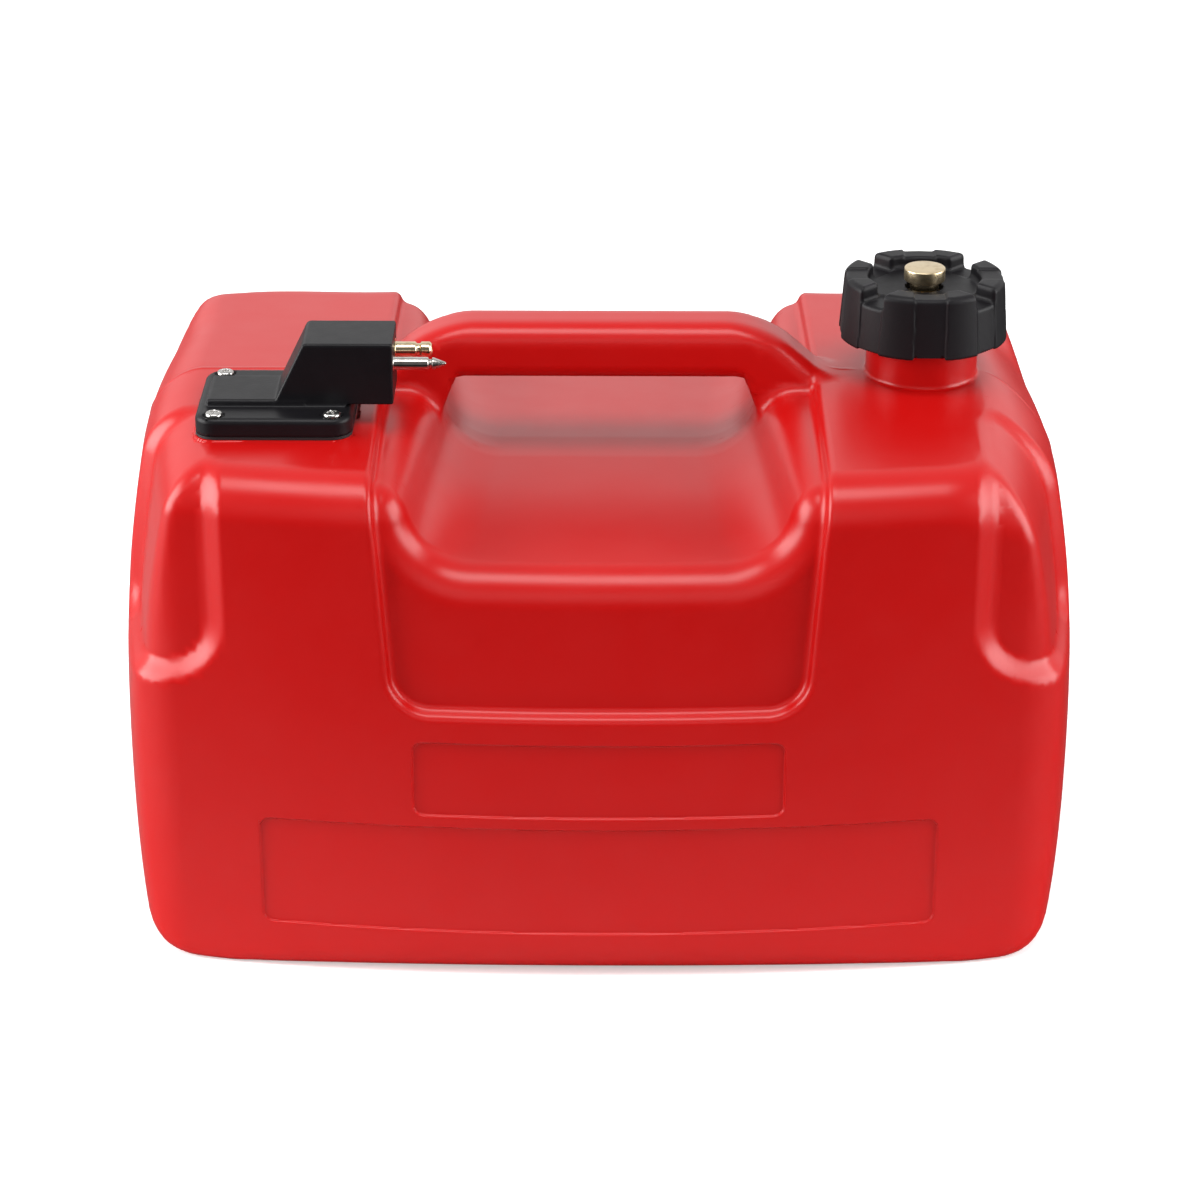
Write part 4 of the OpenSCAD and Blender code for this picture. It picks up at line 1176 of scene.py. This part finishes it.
screw_from = (-SCREW_SIDE, -SCREW_SIDE, -SCREW_L - SCREW_MARGIN)
screw_to = (SCREW_SIDE, SCREW_SIDE, HEAD_H + SCREW_MARGIN)
points, faces = lay_skin(screw_field, screw_from, screw_to, SCREW_CELL)
screw_mesh = plain_mesh("pan_head_screw", points / MM, faces)
screw_mesh.shade_smooth()
one_screw = put("pan_head_screw", screw_mesh)
print("one screw's faces:", len(screw_mesh.polygons))

# %% [markdown]
# ### Screw pattern
# Four screws could be placed by hand, but a Geometry Nodes tree keeps to the flange when a size changes.
# It sets a copy of the screw at each corner of a grid, each turned by its own amount, because screws
# never stop at the same angle. The copies are made real and become one plain mesh.

# %% Screw pattern
TURN_SEED = 7
tree = bpy.data.node_groups.new("screw_pattern", "GeometryNodeTree")
tree.interface.new_socket("Geometry", in_out="OUTPUT", socket_type="NodeSocketGeometry")
sockets = {}
for label, kind in (
    ("Pitch", "NodeSocketFloat"),
    ("Place", "NodeSocketVector"),
    ("Screw", "NodeSocketObject"),
    ("Finish", "NodeSocketMaterial"),
):
    sockets[label] = tree.interface.new_socket(label, in_out="INPUT", socket_type=kind).identifier
given = add(tree, "NodeGroupInput").outputs
grid = add(
    tree,
    "GeometryNodeMeshGrid",
    {"Size X": given["Pitch"], "Size Y": given["Pitch"], "Vertices X": 2, "Vertices Y": 2},
)
shape = add(tree, "GeometryNodeObjectInfo", {"Object": given["Screw"], "As Instance": True})
any_turn = {"Min": 0.0, "Max": math.tau, "Seed": TURN_SEED}
angle = add(tree, "FunctionNodeRandomValue", any_turn, data_type="FLOAT")
angle_out = [s for s in angle.outputs if s.enabled][0]
turn = add(tree, "ShaderNodeCombineXYZ", {"Z": angle_out}).outputs["Vector"]
placed = add(
    tree,
    "GeometryNodeInstanceOnPoints",
    {"Points": grid.outputs["Mesh"], "Instance": shape.outputs["Geometry"], "Rotation": turn},
)
moved = add(
    tree, "GeometryNodeTransform", {"Geometry": placed.outputs["Instances"], "Translation": given["Place"]}
)
real = add(tree, "GeometryNodeRealizeInstances", {"Geometry": moved.outputs["Geometry"]})
finished = add(
    tree, "GeometryNodeSetMaterial", {"Geometry": real.outputs["Geometry"], "Material": given["Finish"]}
)
add(tree, "NodeGroupOutput", {"Geometry": finished.outputs["Geometry"]})

holder = put("screw_holder", bpy.data.meshes.new("screw_holder"))
pattern = holder.modifiers.new("pattern", "NODES")
pattern.node_group = tree
pattern[sockets["Pitch"]] = SCREW_PITCH / MM
pattern[sockets["Place"]] = (OUTLET_MID[0] / MM, OUTLET_MID[1] / MM, (FLANGE_TOP - SINK_DEPTH) / MM)
pattern[sockets["Screw"]] = one_screw
pattern[sockets["Finish"]] = zinc_plate
graph = bpy.context.evaluated_depsgraph_get()
screw_set = bpy.data.meshes.new_from_object(holder.evaluated_get(graph))
bpy.data.objects.remove(holder)
bpy.data.objects.remove(one_screw)
screws = put("pan_head_screws", screw_set)
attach(screws, "tank")
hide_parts("flange_screws")
print("screw faces:", len(screw_set.polygons))

# %% [markdown]
# ## Pieces that keep their solids
# The gaskets, clips, inserts, the bush, the valve's ball and the pickup are already the right shape, and
# most of them are hidden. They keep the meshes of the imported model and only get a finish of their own.

# %% Finishes for the other solids
kept = {
    nitrile_rubber: ("outlet_gasket", "spigot_oring", "cap_gasket", "vent_seal"),
    # The brass pieces get brass painted dark, as painted shade for the bush in the cap's dish
    shade_darkened_brass: ("thread_inserts", "pickup_barb", "vent_bush"),
    spring_steel: ("check_ball", "tube_clip", "vent_clip"),
    natural_nylon: ("pickup_tube", "strainer_mesh"),
    black_nylon: ("strainer_cage",),
}
for finish, names in kept.items():
    for name in names:
        for material_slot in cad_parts[name].material_slots:
            material_slot.material = finish
        print(name, "is now", finish.name)

# %% [markdown]
# ## The valve's spring
# The ball lifts against a small spring in the outlet. A copy of the spring's mesh stands for its solid and
# rides on the tank. The solid's triangles are loose, so the copy's doubled points are merged.

# %% Valve spring
MERGE_WITHIN = 1e-6
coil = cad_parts["check_spring"]
spring_mesh = coil.data.copy()
spring_mesh.transform(coil.matrix_world)
work = bmesh.new()
work.from_mesh(spring_mesh)
bmesh.ops.remove_doubles(work, verts=work.verts, dist=MERGE_WITHIN)
work.to_mesh(spring_mesh)
work.free()
spring_mesh.materials.clear()
spring_mesh.materials.append(spring_steel)
spring = put("valve_spring", spring_mesh)
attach(spring, "tank")
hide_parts("check_spring")
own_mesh(spring)

# %% [markdown]
# ## Floor
# The tank stands on a plain pale sweep under soft studio light. The white paper is seen everywhere, but as
# a source of light it ends a little in front of the tank and dims to the right, because the photo's front
# face mirrors a dark room. The Light Path node tells which rays come from the camera, which were mirrored
# and which only carry light, and each kind gets its own colour.

# %% Studio floor
FLOOR = 6.0
FLOOR_LIFT = 0.3
FAR_LIFT = 0.8
FIBRE_SCALE = 400.0
PAPER = ("#F6F6F6", "#FAFAFA")
FLOOR_MIRRORED = "#7E7E7E"
ROOM_MIRRORED = "#0A0A0A"
ROOM_LIT = "#4A4A4A"
floor_corners = [(-FLOOR, -FLOOR, 0), (FLOOR, -FLOOR, 0), (FLOOR, FLOOR, 0), (-FLOOR, FLOOR, 0)]
floor_mesh = bpy.data.meshes.new("studio_floor")
floor_mesh.from_pydata(floor_corners, [], [(0, 1, 2, 3)])
floor = put("studio_floor", floor_mesh)
paper, tree, shader, spot = begin("studio_paper")
fibre = add(tree, "ShaderNodeTexNoise", {"Vector": spot, "Scale": FIBRE_SCALE, "Detail": 2.0})
tone = add(
    tree,
    "ShaderNodeMix",
    {"Factor": fibre.outputs["Fac"], MIX_A: linear(PAPER[0]), MIX_B: linear(PAPER[1])},
    data_type="RGBA",
)
rays = add(tree, "ShaderNodeLightPath").outputs
floor_spot = add(tree, "ShaderNodeSeparateXYZ", {"Vector": spot}).outputs
paper_end = add(tree, "ShaderNodeMapRange", {"Value": floor_spot["Y"], "From Min": -0.36, "From Max": -0.16})
to_right = add(
    tree,
    "ShaderNodeMapRange",
    {"Value": floor_spot["X"], "From Min": -0.35, "From Max": 0.35, "To Min": 1.0, "To Max": 0.12},
)
paper_share = add(
    tree,
    "ShaderNodeMath",
    {0: paper_end.outputs["Result"], 1: to_right.outputs["Result"]},
    operation="MULTIPLY",
)
mirrored = add(
    tree,
    "ShaderNodeMix",
    {"Factor": paper_share.outputs["Value"], MIX_A: linear(ROOM_MIRRORED), MIX_B: linear(FLOOR_MIRRORED)},
    data_type="RGBA",
)
bounced = add(
    tree,
    "ShaderNodeMix",
    {"Factor": paper_end.outputs["Result"], MIX_A: linear(ROOM_LIT), MIX_B: tone.outputs[MIX_OUT]},
    data_type="RGBA",
)
unseen = add(
    tree,
    "ShaderNodeMix",
    {"Factor": rays["Is Glossy Ray"], MIX_A: bounced.outputs[MIX_OUT], MIX_B: mirrored.outputs[MIX_OUT]},
    data_type="RGBA",
)
seen = add(
    tree,
    "ShaderNodeMix",
    {"Factor": rays["Is Camera Ray"], MIX_A: unseen.outputs[MIX_OUT], MIX_B: tone.outputs[MIX_OUT]},
    data_type="RGBA",
)
tree.links.new(seen.outputs[MIX_OUT], shader.inputs["Base Color"])
shader.inputs["Roughness"].default_value = 0.9
shader.inputs["Specular IOR Level"].default_value = 0.1
shader.inputs["Emission Color"].default_value = (1.0, 1.0, 1.0, 1.0)
far = add(tree, "ShaderNodeVectorMath", {0: spot}, operation="LENGTH").outputs["Value"]
lift = add(
    tree,
    "ShaderNodeMapRange",
    {"Value": far, "From Min": 0.8, "From Max": 1.6, "To Min": FLOOR_LIFT, "To Max": FAR_LIFT},
)
glow = add(
    tree, "ShaderNodeMath", {0: lift.outputs["Result"], 1: rays["Is Camera Ray"]}, operation="MULTIPLY"
)
tree.links.new(glow.outputs["Value"], shader.inputs["Emission Strength"])
floor_mesh.materials.append(paper)
print("floor:", 2 * FLOOR, "m wide, of", paper.name)

# %% [markdown]
# ## Room and lamps
# The world is bright behind the tank and dim in front, and the camera sees it white. A softbox overhead
# draws the bands along the upper edges, a large one at each side lights the ends, and a weak fill, which is
# not mirrored, lights the front.

# %% Room and lamps
TANK_MIDDLE = Vector((0.0, 0.0, 0.12))
world = bpy.data.worlds.new("white_studio")
bpy.context.scene.world = world
world.use_nodes = True
tree = world.node_tree
sky = tree.nodes["Background"]
path = add(tree, "ShaderNodeLightPath").outputs
way = add(tree, "ShaderNodeTexCoord").outputs["Generated"]
rearward = add(tree, "ShaderNodeSeparateXYZ", {"Vector": way}).outputs["Y"]
room = add(
    tree,
    "ShaderNodeMapRange",
    {"Value": rearward, "From Min": -0.2, "From Max": 0.8, "To Min": 0.15, "To Max": 1.0},
)
power = add(
    tree, "ShaderNodeMath", {0: room.outputs["Result"], 1: path["Is Camera Ray"]}, operation="MAXIMUM"
)
sky.inputs["Color"].default_value = (1.0, 1.0, 1.0, 1.0)
tree.links.new(power.outputs["Value"], sky.inputs["Strength"])


def soft_lamp(name, lamp_spot, width, height, watts):
    """A large rectangular lamp turned to the middle of the tank."""
    data = bpy.data.lights.new(name, "AREA")
    data.shape = "RECTANGLE"
    data.size = width
    data.size_y = height
    data.energy = watts
    lamp = put(name, data)
    lamp.location = lamp_spot
    lamp.rotation_euler = (TANK_MIDDLE - Vector(lamp_spot)).to_track_quat("-Z", "Y").to_euler()
    return lamp


soft_lamp("overhead_softbox", (-0.1, -0.5, 1.6), 1.5, 0.6, 19.0)
soft_lamp("left_softbox", (-1.7, -0.2, 0.6), 1.4, 1.3, 48.0)
soft_lamp("right_softbox", (1.7, -0.3, 0.6), 1.4, 1.3, 36.0)
fill = soft_lamp("front_fill", (0.0, -2.0, 0.9), 1.6, 1.0, 17.0)
fill.visible_glossy = False
bpy.context.scene.view_settings.view_transform = "Standard"
